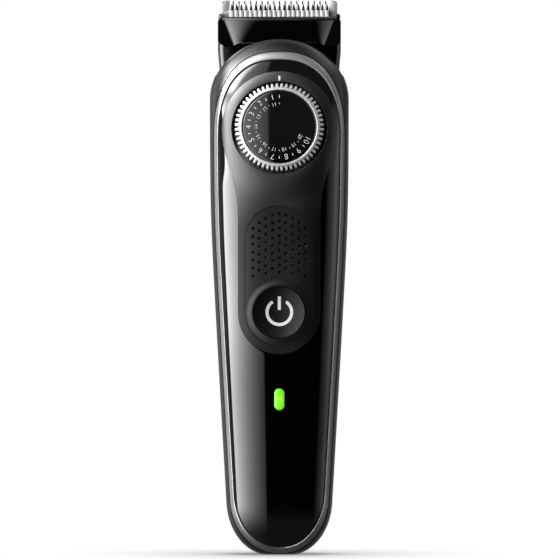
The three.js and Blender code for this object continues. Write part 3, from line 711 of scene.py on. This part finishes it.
def gloss_panel():
    stations = fan(KEY_LOW_Z, -90, 0, 200) + level_rays(KEY_LOW_Z, DIAL_Z, 110)[1:-1]
    stations += fan(DIAL_Z, 0, 90, 100)
    inner = both_halves(reach(stations, within(keyhole_width(0.15))))
    outer = both_halves(reach(stations, within(panel_width(*GLOSS_EDGE))))
    shares = 1 - (1 - np.linspace(0, 1, 90)) ** 1.6
    panel = put_grids("gloss_panel", [band(inner, outer, shares, flat(0))], facing=(0, -1, 0))
    thicken(panel, SKIN_DEPTH, 0.12)
    half, low, high = LENS_STADIUM
    width = stadium_width(half + 0.15, low, high)
    hole = outline_of(width, low - half - 0.15, high + half + 0.15, 60)
    return boolean(panel, [prism("tool", hole, -FAR, 0)])


def panel_lift(x, z, share=None):
    """The control panel stands proud of the skin and climbs to a collar around the dial."""
    out = (np.hypot(x, z - DIAL_Z) - WELL_RADIUS) / COLLAR_REACH
    return CONTROL_PROUD + COLLAR_RISE * (1 - smooth_step(out))


def control_panel():
    """Matte keyhole panel: one zone around the dial, one around the pad, joined at a level line."""
    line_z = 110.0
    key = keyhole_width(0)
    line = np.linspace(0, 1, 40) * float(key(np.array(line_z))) * (1 - 1e-9)
    upper_rays = rays_through(DIAL_Z, line, line_z)
    corner = math.degrees(math.atan2(line_z - DIAL_Z, line[-1]))
    upper_rays += fan(DIAL_Z, corner, 90, 150)[1:]
    lower_rays = fan(PAD_LOW_Z, -90, 0, 90) + level_rays(PAD_LOW_Z, PAD_HIGH_Z, 40)[1:]
    corner = math.degrees(math.atan2(line_z - PAD_HIGH_Z, line[-1]))
    lower_rays += fan(PAD_HIGH_Z, 0, corner, 30)[1:-1] + rays_through(PAD_HIGH_Z, line[::-1], line_z)
    pad = within(stadium_width(PAD_HALF + 0.08, PAD_LOW_Z, PAD_HIGH_Z))
    zones = []
    for stations, hole, outer in ((upper_rays, in_dial_well, within(key, low=line_z)),
                                  (lower_rays, pad, within(key, high=line_z))):
        inner = both_halves(reach(stations, hole))
        rim = both_halves(reach(stations, outer))
        zones.append(band(inner, rim, np.linspace(0, 1, 26), panel_lift))
    panel = put_grids("control_panel", zones, facing=(0, -1, 0))
    return thicken(panel, SKIN_DEPTH + CONTROL_PROUD, 0.22)


def dimple_spots():
    """Nine columns of dimples, from (offset, lowest, highest, how many) for one side."""
    columns = [(0, 86.1, 103.9, 9), (2.0, 87.2, 103.5, 8), (4.1, 85.7, 102.5, 8), (6.1, 86.7, 101.2, 7),
               (7.95, 84.9, 99.5, 7)]
    return [(side * x, z) for x, low, high, count in columns for side in ((1, -1) if x else (1,))
            for z in np.linspace(low, high, count)]


def grip_pad():
    """Soft pad: dimpled above, with a lip that slopes in to the button below."""
    line_z = 83.9
    columns = 95
    hole_radius = BUTTON_RADIUS + 0.3
    pad = stadium_width(PAD_HALF, PAD_LOW_Z, PAD_HIGH_Z)
    spots = np.array(dimple_spots())

    def dimpled(x, z):
        near = np.full(np.shape(x), 9.0)
        for spot_x, spot_z in spots:
            near = np.minimum(near, np.hypot(x - spot_x, z - spot_z))
        return PAD_PROUD - 0.8 * np.sqrt(np.clip(1 - (near / 0.42) ** 2, 0, 1))

    top = PAD_HIGH_Z + PAD_HALF
    angle = np.linspace(0, math.pi / 2, 70)[1:]
    levels = np.concatenate([np.linspace(line_z, PAD_HIGH_Z, 110), PAD_HIGH_Z + PAD_HALF * np.sin(angle)])
    z = np.minimum(levels, top - 1e-6)[:, None]
    x = np.linspace(-1, 1, 2 * columns + 1)[None, :] * np.maximum(pad(z), 0)
    z = np.broadcast_to(z, x.shape)
    upper = skin(x, z, dimpled(x, z))

    line = np.linspace(0, 1, columns + 1) * PAD_HALF * (1 - 1e-9)
    centre = BUTTON_Z
    corner = math.degrees(math.atan2(line_z - centre, PAD_HALF))
    stations = fan(centre, -90, corner, 150)[:-1] + rays_through(centre, line[::-1], line_z)
    hole = within(stadium_width(hole_radius, centre, centre))
    inner = both_halves(reach(stations, hole))
    rim = both_halves(reach(stations, within(pad, high=line_z)))

    def lip(x, z, share):
        outwards = np.hypot(x, z - centre) - hole_radius
        return PAD_PROUD + 0.3 * (1 - smooth_step(outwards / 1.9))

    lower = band(inner, rim, np.linspace(0, 1, 22), lip)
    piece = put_grids("grip_pad", [upper, lower], facing=(0, -1, 0), sharp=50)
    return thicken(piece, SKIN_DEPTH, 0.25)


def button_lift(x, z):
    """A shallow dish inside a rounded rim."""
    share = np.hypot(x, z - BUTTON_Z) / BUTTON_RADIUS
    return -0.2 - 0.95 * (1 - np.clip(share, 0, 1) ** 2.2)


def power_button():
    angle = np.linspace(0, 2 * math.pi, 181)
    radius = np.linspace(0, BUTTON_RADIUS, 30)[:, None]
    x = radius * np.cos(angle)
    z = BUTTON_Z + radius * np.sin(angle)
    cap = put_grids("power_button", [skin(x, z, button_lift(x, z))], facing=(0, -1, 0))
    thicken(cap, 0.5, 0.12, 3)
    stem = rod_tool(1.8, 0, BUTTON_Z, -13.2, BUTTON_HIGH[1])
    return boolean(cap, [stem], "UNION")


def power_icon():
    """Broken ring and bar, printed on the button's dish."""
    def printed(x, z):
        x, z = np.broadcast_arrays(x, z)
        return skin(x, z, button_lift(x, z) + 0.02)

    gap = 33
    angle = np.radians(np.linspace(90 + gap, 450 - gap, 140))[None, :]
    radius = np.linspace(3.28, 4.22, 5)[:, None]
    arc = printed(radius * np.cos(angle), BUTTON_Z + radius * np.sin(angle))
    bar = printed(np.linspace(-0.47, 0.47, 5)[:, None], BUTTON_Z + np.linspace(0.7, 4.8, 20)[None, :])
    return thicken(put_grids("power_icon", [arc, bar], facing=(0, -1, 0)), 0.05, 0)


def status_lens():
    half, low, high = LENS_STADIUM
    stations = fan(low, -90, 0, 24) + fan(high, 0, 90, 24)
    rim = both_halves(reach(stations, within(stadium_width(half, low, high))))
    spine = rim.copy()
    spine[:, 0] = 0
    spine[:, 1] = np.clip(rim[:, 1], low, high)
    grid = band(spine, rim, np.linspace(0, 1, 12), lambda x, z, share: 0.18 - 0.2 * share ** 2)
    lens = put_grids("status_lens", [grid], facing=(0, -1, 0))
    return thicken(lens, 2.2, 0.1)


# ---- length dial ----
DIAL_TEETH = 56
TOOTH_ROOT = 12.32
FACE_RADIUS = 11.2
STEP_ANGLE = 360 / 28


def toothed(radius, height, angle):
    """Trapezoid teeth on whatever lies outside the root radius."""
    phase = (angle * DIAL_TEETH / (2 * math.pi)) % 1.0
    tooth = np.clip((0.27 - np.abs(phase - 0.5)) / 0.09 + 0.5, 0, 1)
    return np.where(radius > TOOTH_ROOT, TOOTH_ROOT + (radius - TOOTH_ROOT) * tooth, radius)


def dial_ring():
    profile = [(5.8, -1.1), (12.3, -1.1), (13.2, -0.9), (13.55, -0.6), (13.6, -0.4), (13.6, 2.1),
               (13.57, 2.25), (13.48, 2.36), (13.35, 2.42), (12.5, 2.58), (12.34, 2.62), (12.3, 2.68),
               (12.22, 2.74), (11.62, 2.82), (11.5, 2.82), (11.43, 2.78), (11.4, 2.7), (11.38, 0.6),
               (5.8, 0.6), (5.8, -1.1)]
    return spin("dial_ring", profile, DIAL_TEETH * 12, dial_place, toothed, sharp=30)


def face_height(radius):
    return 2.78 - radius ** 2 / 240


def dial_face():
    dome = [(r, face_height(r)) for r in np.linspace(10.95, 0, 24)]
    profile = [(0, 0.9), (11.0, 0.9), (FACE_RADIUS, 1.1), (FACE_RADIUS, 2.1), (11.15, 2.2), (11.07, 2.25),
               *dome]
    return spin("dial_face", profile, 180, dial_place)


def on_dial(name, flat_meshes):
    """Thin prints laid on the dial's dome, from (points, faces) in the dial's plane."""
    points, faces, first = [], [], 0
    for spots, loops in flat_meshes:
        spots = np.asarray(spots, float)
        for lift in (0.02, -0.03):
            height = face_height(np.hypot(spots[:, 0], spots[:, 1])) + lift
            points.append(np.column_stack([spots[:, 0], spots[:, 1], height]))
        count = len(spots)
        faces += [tuple(first + i for i in loop) for loop in loops]
        faces += [tuple(first + count + i for i in reversed(loop)) for loop in loops]
        sides = {}
        for loop in loops:
            for a, b in zip(loop, loop[1:] + loop[:1]):
                sides[(a, b)] = sides.get((b, a)) is None
                if (b, a) in sides:
                    sides[(a, b)] = sides[(b, a)] = False
        faces += [(first + a, first + count + a, first + count + b, first + b)
                  for (a, b), rim in sides.items() if rim]
        first += 2 * count
    return put_mesh(name, dial_place(np.concatenate(points)), faces)


def figure(text, size, radius, bearing):
    """A printed number, upright at the top of the dial, turned to its bearing in degrees."""
    curve = bpy.data.curves.new("figure", "FONT")
    curve.body = text
    curve.size = size
    curve.offset = -0.012 * size
    curve.align_x = "CENTER"
    curve.align_y = "CENTER"
    curve.resolution_u = 4
    holder = bpy.data.objects.new("figure", curve)
    bpy.context.scene.collection.objects.link(holder)
    mesh = bpy.data.meshes.new_from_object(holder.evaluated_get(bpy.context.evaluated_depsgraph_get()))
    bpy.data.objects.remove(holder)
    angle = math.radians(bearing)
    spots = np.array([(v.co.x, v.co.y + radius) for v in mesh.vertices])
    turn = np.array([(math.cos(angle), math.sin(angle)), (-math.sin(angle), math.cos(angle))])
    return spots @ turn, [list(p.vertices) for p in mesh.polygons]


def tick(radius, length, width, bearing):
    angle = math.radians(bearing)
    out = np.array([-math.sin(angle), math.cos(angle)])
    across = np.array([math.cos(angle), math.sin(angle)])
    corners = [out * (radius + up * length / 2) + across * (side * width / 2)
               for up, side in ((-1, -1), (-1, 1), (1, 1), (1, -1))]
    return corners, [[0, 1, 2, 3]]


def dial_print():
    """Two rings of settings, counted anticlockwise from the top, with ticks between them."""
    marks = []
    for number in range(1, 11):
        bearing = STEP_ANGLE + 2 * STEP_ANGLE * (number - 1)
        marks.append(figure(str(number), 2.45, 9.3, bearing))
        marks.append(figure(str(number + 10), 1.6, 7.0, bearing))
        marks.append(tick(9.4, 0.85, 0.2, bearing - STEP_ANGLE))
        marks.append(tick(7.25, 0.4, 0.15, bearing - STEP_ANGLE))
    return on_dial("dial_numbers", marks)


def index_mark():
    """Pale line on the panel above the dial that the settings are read against."""
    low = DIAL_Z + WELL_RADIUS * DIAL_UP[2] + 0.3
    x = np.linspace(-0.29, 0.29, 4)[None, :]
    z = np.linspace(low, low + 1.4, 9)[:, None]
    x, z = np.broadcast_arrays(x, z)
    return thicken(put_grids("index_mark", [skin(x, z, panel_lift(x, z) + 0.02)], facing=(0, -1, 0)), 0.05, 0)


# ---- head and blades ----
HEAD_HALF = HEAD_HIGH[0]
FIXED_LOW, FIXED_HIGH = node_box("fixed_blade")
MOVING_LOW, MOVING_HIGH = node_box("moving_blade")
FACE_LOW = 155.6  # where the head's face starts to lean back
FACE_LEAN = 0.58
TAB_INNER = 15.1  # guard tabs at the ends of the fixed comb


def head_block():
    """Upright block with rounded corners and a rounded top edge."""
    edge = 0.5
    heights = [(z, 0.0) for z in np.linspace(HEAD_LOW[2], HEAD_HIGH[2] - edge, 24)]
    heights += [(HEAD_HIGH[2] - edge * (1 - math.sin(a)), edge * (1 - math.cos(a)))
                for a in np.linspace(0, math.pi / 2, 7)[1:]]
    centre = (HEAD_LOW[1] + HEAD_HIGH[1]) / 2
    half_depth = (HEAD_HIGH[1] - HEAD_LOW[1]) / 2
    corner = 1.8
    rows = []
    for z, inset in heights:
        half = HEAD_HALF - 0.6 * max(0, (153 - z) / 7) - inset
        row = [(sx * (half - corner) + corner * math.cos(a),
                sy * (half_depth - inset - corner) + corner * math.sin(a))
               for sx, sy, start in ((1, 1, 0), (-1, 1, 90), (-1, -1, 180), (1, -1, 270))
               for a in np.radians(np.linspace(start, start + 90, 15))]
        rows.append([(x, centre + y, z) for x, y in row + row[:1]])
    return put_grids("head_housing", capped(np.array(rows)))


def face_fall(x, half, start=0.3):
    """How far the head's face and the blade bar fall back towards the cheeks."""
    return 2.3 * np.clip((np.abs(x) / half - start) / (1 - start), 0, 1) ** 2


def rim_of(grid):
    return np.concatenate([grid[0], grid[1:, -1], grid[-1, -2::-1], grid[-2:0:-1, 0], grid[:1, 0]])


def face_tool():
    """Everything in front of the head's leaning face, which creases where the cheeks begin."""
    z = np.linspace(FACE_LOW - 4.6, HEAD_HIGH[2] + 1, 28)[:, None]
    x = np.linspace(-20, 20, 121)[None, :]
    half = 14.1 + 0.4 * (z - FACE_LOW)
    x, z, half = np.broadcast_arrays(x, z, half)
    start = np.interp(z, [FACE_LOW - 1.2, HEAD_HIGH[2]], [0.86, 0.3])
    fall = face_fall(x, half, start) * np.interp(z, [FACE_LOW - 1.2, HEAD_HIGH[2]], [0.2, 1.0])
    back = np.stack([x, HEAD_LOW[1] + (z - FACE_LOW) * FACE_LEAN + fall, z], axis=-1)
    front = back.copy()
    front[..., 1] = -FAR
    return put_grids("tool", [back, front, np.stack([rim_of(back), rim_of(front)])])


def head_housing():
    low_y, high_y = MOVING_LOW[1] - 0.4, MOVING_LOW[1] + 0.8
    lever_room = box_tool((-8.5, 8.5), (2.2, 6.3), (HEAD_LOW[2] - 1, 161.6))
    blade_room = box_tool((-17, 17), (low_y, high_y), (157, ABOVE))
    blade_seat = box_tool(y=(FIXED_LOW[1] - 0.3, 20), z=(FIXED_LOW[2] - 0.3, ABOVE))
    bores = [rod_tool(1.1, side * 12, 155.5, 3.6, 8) for side in (-1, 1)]
    pin_bore = rod_tool(1.2, 0, 148, -0.4, 7.3)
    return boolean(head_block(), [face_tool(), lever_room, blade_room, blade_seat, pin_bore, *bores])


def comb_teeth(count, pitch, stations):
    """Separate teeth side by side; a station is (height, half-width, front, back)."""
    grids = []
    for number in range(count):
        x = (number - (count - 1) / 2) * pitch
        grids += capped(np.array([
            [(x + side * half, y, z)
             for side, y in ((-1, front), (1, front), (1, back), (-1, back), (-1, front))]
            for z, half, front, back in stations]), 1)
    return put_grids("tool", grids)


def guard_tab(side):
    """Upright end of the fixed comb: its face falls back downwards, its outer top is round."""
    top, outer, corner = FIXED_HIGH[2], FIXED_HIGH[0], 1.1
    heights = np.concatenate([np.linspace(FIXED_HIGH[2] - 6, top - corner, 14),
                              top - corner * (1 - np.sin(np.linspace(0.1, math.pi / 2, 9)))])
    loops = []
    for z in heights:
        front = FIXED_LOW[1] - 0.22 + 1.4 * ((top - z) / 6) ** 1.6
        over = max(0.0, z - (top - corner)) / corner
        edge = outer - corner * (1 - math.sqrt(max(0.0, 1 - over ** 2)))
        loops.append([(side * x, y, z) for x, y in (
            (TAB_INNER, front), (edge - 0.3, front), (edge, front + 0.25), (edge, 8.7), (TAB_INNER, 8.7),
            (TAB_INNER, front))])
    return put_grids("tool", capped(np.array(loops), 1))


def fixed_blade():
    low, high = FIXED_LOW, FIXED_HIGH
    shoulder, root, point = 162.2, 165.0, 167.0
    side = TAB_INNER + 0.05
    outline = [(-high[0], low[2]), (high[0], low[2]), (high[0], shoulder), (side, shoulder), (side, root),
               (-side, root), (-side, shoulder), (-high[0], shoulder)]
    plate = prism("fixed_blade", outline, low[1], high[1])
    widths = ((root - 0.4, 0.42), (root, 0.42), (point, 0.3), (167.75, 0.22), (high[2], 0.07))
    teeth = comb_teeth(17, 1.757, [(z, half, low[1] + 0.02 + 0.4 * max(0, z - point), high[1] - 0.02)
                                   for z, half in widths])
    boolean(plate, [teeth, guard_tab(1), guard_tab(-1)], "UNION")
    boolean(plate, [rod_tool(1.1, side * 12, 155.5, 7, 9) for side in (-1, 1)])
    return bake(add_bevel(plate, 0.06, 2, 30))


def moving_blade():
    """Cutter whose teeth have square, lapped roots and ground, leaning points."""
    low, high = MOVING_LOW, MOVING_HIGH
    root, grind = 163.3, 165.1
    outline = [(low[0], low[2]), (high[0], low[2]), (high[0], root), (low[0], root)]
    plate = prism("moving_blade", outline, low[1], high[1])
    front, back = low[1] + 0.01, high[1] - 0.01
    teeth = comb_teeth(21, 1.446, [(root - 0.4, 0.5, front, back), (grind, 0.5, front, back),
                                   (grind + 0.7, 0.46, front + 0.2, back),
                                   (high[2] - 0.1, 0.14, front + 0.5, back),
                                   (high[2], 0.05, front + 0.54, back)])
    boolean(plate, [teeth], "UNION")
    boolean(plate, [box_tool((-1.3, 1.3), (low[1] - 1, high[1] + 1), (158.6, 161.4))])
    bake(add_bevel(plate, 0.05, 2, 30))
    return plate


def grind_faces(piece):
    """The ground look on the teeth's leaning faces, with its colour darkened as painted shade."""
    piece.data.materials.append(LOOKS["ground_and_shaded_steel"])
    for face in piece.data.polygons:
        leans = face.normal.z > 0.12 and face.normal.y < 0.1
        if leans and face.center.z > 165.0 * MM:
            face.material_index = 1


def blade_bar():
    """Bowed bar across the head's top, in front of the blades, with a leaning upper facet."""
    half, low, high, back = 17.2, HEAD_HIGH[2] - 0.12, 163.25, MOVING_LOW[1] - 0.3
    loops = []
    for x in np.linspace(-half, half, 81):
        front = 1.05 + float(face_fall(x, 16.9))
        loops.append([(x, y, z) for y, z in (
            (front + 0.5, high), (front + 0.08, high - 0.48), (front, high - 0.56), (front, low + 0.12),
            (front + 0.12, low), (back, low), (back, high), (front + 0.5, high))])
    return bake(add_bevel(put_grids("blade_bar", capped(np.array(loops), 1)), 0.04, 2, 25))


def bar_end(side):
    """Small domed peg that holds one end of the comb in the head."""
    profile = [(0, 0), (1.0, 0), (1.0, 0.7), (0.93, 0.95), (0.7, 1.12), (0.35, 1.2), (0, 1.22)]

    def place(points):
        x = side * (17.3 + points[..., 2])
        return np.stack([x, 7.3 + points[..., 0], 163.05 + points[..., 1]], axis=-1)

    return spin("comb_peg", profile, 40, place)


def screw(name):
    """Domed head with a cross recess, on a plain shank, in the CAD screw's own box."""
    low, high = node_box(name)
    x, z = (low[0] + high[0]) / 2, (low[2] + high[2]) / 2
    radius = (high[0] - low[0]) / 2
    head = 0.8 * radius
    under = high[1] - head
    profile = [(0, low[1]), (0.5 * radius, low[1]), (0.5 * radius, under), (radius * 0.94, under),
               (radius, under + 0.08)]
    profile += [(radius * math.cos(a), high[1] - 0.55 * head * (1 - math.sin(a)))
                for a in np.linspace(0.1, math.pi / 2, 9)]

    def place(points):
        return np.stack([x + points[..., 0], points[..., 2], z + points[..., 1]], axis=-1)

    piece = spin(name + "_fine", profile, 48, place)
    arm, slot = 0.62 * radius, 0.16 * radius
    for across, up in ((arm, slot), (slot, arm)):
        depth = (high[1] - 0.45 * head, high[1] + 1)
        boolean(piece, [box_tool((x - across, x + across), depth, (z - up, z + up))])
    return piece


# ---- the whole object ----
OWN_LOOKS = {"dial_ring": "dial_silver", "control_panel": "panel_black", "power_button": "panel_black"}


def build_trimmer():
    """Each builder in the list is named after the CAD node that its piece stands for."""
    replaced = [
        (front_shell, CASING, "matte_black"),
        (rear_shell, CASING, "matte_black"),
        (rear_grip, CASING, "rubber_black"),
        (trim_ring, CASING, "satin_silver"),
        (gloss_panel, CASING, "gloss_black"),
        (control_panel, CASING, "matte_black"),
        (grip_pad, CASING, "soft_black"),
        (status_lens, CASING, "lens_green"),
        (power_button, "button", "matte_black"),
        (dial_ring, "length_dial", "satin_silver"),
        (dial_face, "length_dial", "gloss_black"),
        (head_housing, CASING, "gloss_black"),
        (fixed_blade, CASING, "blade_steel"),
        (moving_blade, "cutter", "blade_steel"),
    ]
    for build, body, slot in replaced:
        node = build.__name__
        finish_piece(build(), body, slot, LOOKS[OWN_LOOKS.get(node, slot)], node).name = node + "_fine"
    finish_piece(blade_bar(), CASING, "matte_black", LOOKS["matte_black"])
    for side, name in ((-1, "comb_peg_left"), (1, "comb_peg_right")):
        finish_piece(bar_end(side), CASING, "gloss_black", LOOKS["gloss_black"]).name = name
    for blade in ("moving_blade", "fixed_blade"):
        grind_faces(bpy.data.objects[blade + "_fine"])
    for build, body in ((power_icon, "button"), (dial_print, "length_dial"), (index_mark, CASING)):
        finish_piece(build(), body, "satin_silver", LOOKS["print"])
    for name in [f"shell_screw_{n}" for n in range(1, 5)] + ["blade_screw_1", "blade_screw_2"]:
        finish_piece(screw(name), CASING, "blade_steel", LOOKS["blade_steel"], name)


def dress_cad_nodes():
    """Gives every CAD node that still shows its slot's material and softened edges."""
    for subpart in frame["record"]["subparts"]:
        node = frame["nodes"][subpart["node"]]
        node.data.materials.clear()
        node.data.materials.append(LOOKS[subpart["material_slot"]])
        shade(node, 30)
        add_bevel(node, 0.12, 2, 35)


# ---- stage, light and camera ----
FLOOR_SIZE = 3000.0
PAINTED_SHADOW_LEVEL = 0.3  # brightness of the painted shadow right under the object
PAINTED_SHADOW_REACH = 60.0

# brightness by angle to the left of the camera's axis, for light from before the object
FRONT_LIGHT = ((-90, 0.25), (-73, 0.6), (-60, 0.28), (-38, 0.0), (3.1, 0.0), (3.3, 0.35), (22, 2.2),
               (56, 6.2), (70, 7.5), (90, 7.5))
# and from behind it
BACK_LIGHT = ((-90, 0.25), (-56, 0.12), (0, 0.3), (30, 0.28), (56, 0.7), (75, 1.5), (90, 0.2))
BRIGHTEST = 7.5
CUT_FROM, CUT_TO, CUT_SHARE = 70, 74, 0.01  # the left light ends here, in degrees round from the front
CUT_LEAN = 14  # and this much sooner above eye level
UPPER_BOOST = 0.9  # extra side light above eye level, on the left
CANOPY_BOOST = 3.6  # extra left light from high up
LOW_SHARE = 0.05  # what is left of the side light far below eye level
TOP_LIGHT = 0.35  # from high up behind
RIGHT_TOP_LIGHT = 0.8
BROW_LIGHT = 0.045  # low in front, above eye level
GROUND_LIGHT = 0.06
CAMERA_DROP = 1.75  # degrees
VIEW_WIDTH = 170.24
AIM = (0.2, 0.0, 83.3)


def light_ramp(tree, stops, angle):
    ramp = add_node(tree, "ValToRGB", {"Fac": (angle, "Result")})
    elements = ramp.color_ramp.elements
    while len(elements) < len(stops):
        elements.new(0.5)
    for element, (degrees, level) in zip(elements, stops):
        element.position = (degrees + 90) / 180
        element.color = [level / BRIGHTEST] * 3 + [1]
    return ramp


def calc(tree, operation, *values):
    """A math node on numbers, or on the first outputs of nodes."""
    inputs = {i: value if isinstance(value, float) else (value, 0) for i, value in enumerate(values)}
    return add_node(tree, "Math", inputs, operation=operation)


def wall_strength(tree, parts, mirrored):
    """How strong the left wall is in each direction: cut off behind, boosted high up."""
    def rise(low, high, bottom, top):
        return smooth_range(tree, (parts, "Z"), low, high, bottom, top)

    azimuth = add_node(tree, "Math", {0: (mirrored, "X"), 1: (mirrored, "Y")}, operation="ARCTAN2")
    leaned = calc(tree, "ADD", azimuth, rise(0.0, 0.22, 0.0, math.radians(CUT_LEAN)))
    side_cut = smooth_range(tree, (leaned, 0), math.radians(CUT_FROM), math.radians(CUT_TO), 1.0, CUT_SHARE)
    cut = calc(tree, "MAXIMUM", side_cut, rise(0.6, 0.74, 0.0, 1.0))
    leftward = smooth_range(tree, (parts, "X"), -0.88, -0.6, 1.0, 0.0)
    upper = calc(tree, "MULTIPLY", rise(0.02, 0.3, 0.0, UPPER_BOOST), leftward)
    left = add_node(tree, "Math", {0: (parts, "X"), 1: -1.0}, operation="MULTIPLY")
    height = add_node(tree, "Math", {0: (parts, "Z"), 1: 1.2}, operation="MULTIPLY")
    canopy_side = smooth_range(tree, (calc(tree, "ADD", left, height), 0), 0.84, 0.94, 0.0, 1.0)
    canopy_span = calc(tree, "MULTIPLY", rise(0.36, 0.48, 0.0, CANOPY_BOOST), rise(0.70, 0.78, 1.0, 0.0))
    canopy = calc(tree, "MULTIPLY", canopy_span, canopy_side)
    boost = calc(tree, "ADD", calc(tree, "ADD", upper, canopy), 1.0)
    return calc(tree, "MULTIPLY", cut, boost)


def height_fade(tree, parts):
    """Side light fades towards the zenith, away from the middle, and below eye level."""
    high = smooth_range(tree, (parts, "Z"), 0.7, 0.84, 0.0, 1.0)
    side = add_node(tree, "Math", {0: (parts, "X")}, operation="ABSOLUTE")
    sideways = smooth_range(tree, (side, "Value"), 0.0, 0.55, 0.0, 1.0)
    fade = add_node(tree, "Mix", {"A": 1.0, "Factor": (high, "Result"), "B": (sideways, "Result")})
    return calc(tree, "MULTIPLY", fade, smooth_range(tree, (parts, "Z"), -0.85, 0.0, LOW_SHARE, 1.0))


def small_lights(tree, parts, behind):
    """Weak extra light: low in front, high up behind, from the ground and high up on the right."""
    def span(axis, low, high, bottom, top):
        return smooth_range(tree, (parts, axis), low, high, bottom / BRIGHTEST, top / BRIGHTEST)

    full = BRIGHTEST
    brow = calc(tree, "MULTIPLY", span("Z", 0.12, 0.35, 0.0, BROW_LIGHT), span("Z", 0.6, 0.8, full, 0.0))
    rear_top = calc(tree, "MULTIPLY", behind, span("Z", 0.3, 0.7, 0.0, TOP_LIGHT))
    ground = span("Z", -0.6, -0.1, GROUND_LIGHT, 0.0)
    right_top = calc(tree, "MULTIPLY", span("X", 0.25, 0.55, 0.0, RIGHT_TOP_LIGHT),
                     span("Z", 0.6, 0.75, 0.0, full))
    rear = calc(tree, "ADD", calc(tree, "ADD", brow, rear_top), ground)
    return calc(tree, "ADD", rear, right_top)


def studio_dome():
    """Soft light by direction: a bright wall on the left, a weak one on the right, a dim top."""
    world = bpy.data.worlds.new("studio_dome")
    bpy.context.scene.world = world
    world.use_nodes = True
    tree = world.node_tree
    tree.nodes.clear()
    place = add_node(tree, "TexCoord")
    parts = add_node(tree, "SeparateXYZ", {"Vector": (place, "Generated")})
    flipped = add_node(tree, "VectorMath", {0: (place, "Generated"), "Scale": -1.0}, operation="SCALE")
    mirrored = add_node(tree, "SeparateXYZ", {"Vector": (flipped, "Vector")})
    lateral = add_node(tree, "Math", {0: (parts, "X")}, operation="ARCSINE")
    angle = map_range(tree, (lateral, "Value"), math.pi / 2, -math.pi / 2, 0.0, 1.0)
    front = light_ramp(tree, FRONT_LIGHT, angle)
    back = light_ramp(tree, BACK_LIGHT, angle)
    behind = smooth_range(tree, (parts, "Y"), -0.3, 0.3, 0.0, 1.0)
    shaped = add_node(tree, "VectorMath", {0: (front, "Color"),
                      "Scale": (wall_strength(tree, parts, mirrored), 0)}, operation="SCALE")
    around = add_node(tree, "Mix", {"Factor": (behind, "Result"), "A": (shaped, "Vector"),
                                              "B": (back, "Color")}, data_type="RGBA")
    faded = add_node(tree, "VectorMath", {0: (around, "Result"),
                     "Scale": (height_fade(tree, parts), 0)}, operation="SCALE")
    total = add_node(tree, "VectorMath", {0: (faded, 0), 1: (small_lights(tree, parts, behind), 0)},
                     operation="ADD")
    lit = add_node(tree, "Background", {"Strength": BRIGHTEST, "Color": (total, "Vector")})
    plain = add_node(tree, "Background", {"Color": (1, 1, 1, 1)})
    rays = add_node(tree, "LightPath")
    mix = add_node(tree, "MixShader", {0: (rays, "Is Camera Ray"), 1: (lit, 0), 2: (plain, 0)})
    add_node(tree, "OutputWorld", {"Surface": (mix, "Shader")})


def floor_look():
    """Plain pale sheet, evenly bright, with a painted shadow that darkens it only close around the object."""
    look = bpy.data.materials.new("pale_floor")
    look.use_nodes = True
    tree = look.node_tree
    tree.nodes.clear()
    # painted shadow: ambient occlusion darkens the floor's glow near the object
    near = add_node(tree, "AmbientOcclusion", {"Distance": PAINTED_SHADOW_REACH * MM}, samples=24)
    level = map_range(tree, (near, "AO"), 0.5, 0.97, PAINTED_SHADOW_LEVEL, 1.0)
    glow = add_node(tree, "Emission", {"Strength": (level, "Result")})
    add_node(tree, "OutputMaterial", {"Surface": (glow, "Emission")})
    return look


def floor():
    across = np.linspace(-FLOOR_SIZE / 2, FLOOR_SIZE / 2, 9)
    grid = np.array([[(x, y, 0.0) for x in across] for y in across])
    sheet = put_grids("floor", [grid], facing=(0, 0, 1))
    sheet.data.materials.append(floor_look())
    sheet.visible_glossy = False
    sheet.visible_diffuse = False


def camera():
    """Level with the middle of the object and looking very slightly down."""
    drop = math.radians(CAMERA_DROP)
    lens = bpy.data.cameras.new("camera")
    lens.type = "ORTHO"
    lens.ortho_scale = VIEW_WIDTH * MM
    holder = bpy.data.objects.new("camera", lens)
    bpy.context.scene.collection.objects.link(holder)
    look = Vector((0, math.cos(drop), -math.sin(drop)))
    holder.location = Vector(AIM) * MM - look * 0.6
    holder.rotation_euler = look.to_track_quat("-Z", "Y").to_euler()
    bpy.context.scene.camera = holder


build_trimmer()
dress_cad_nodes()
studio_dome()
floor()
camera()
bpy.context.scene.view_settings.view_transform = "Standard"
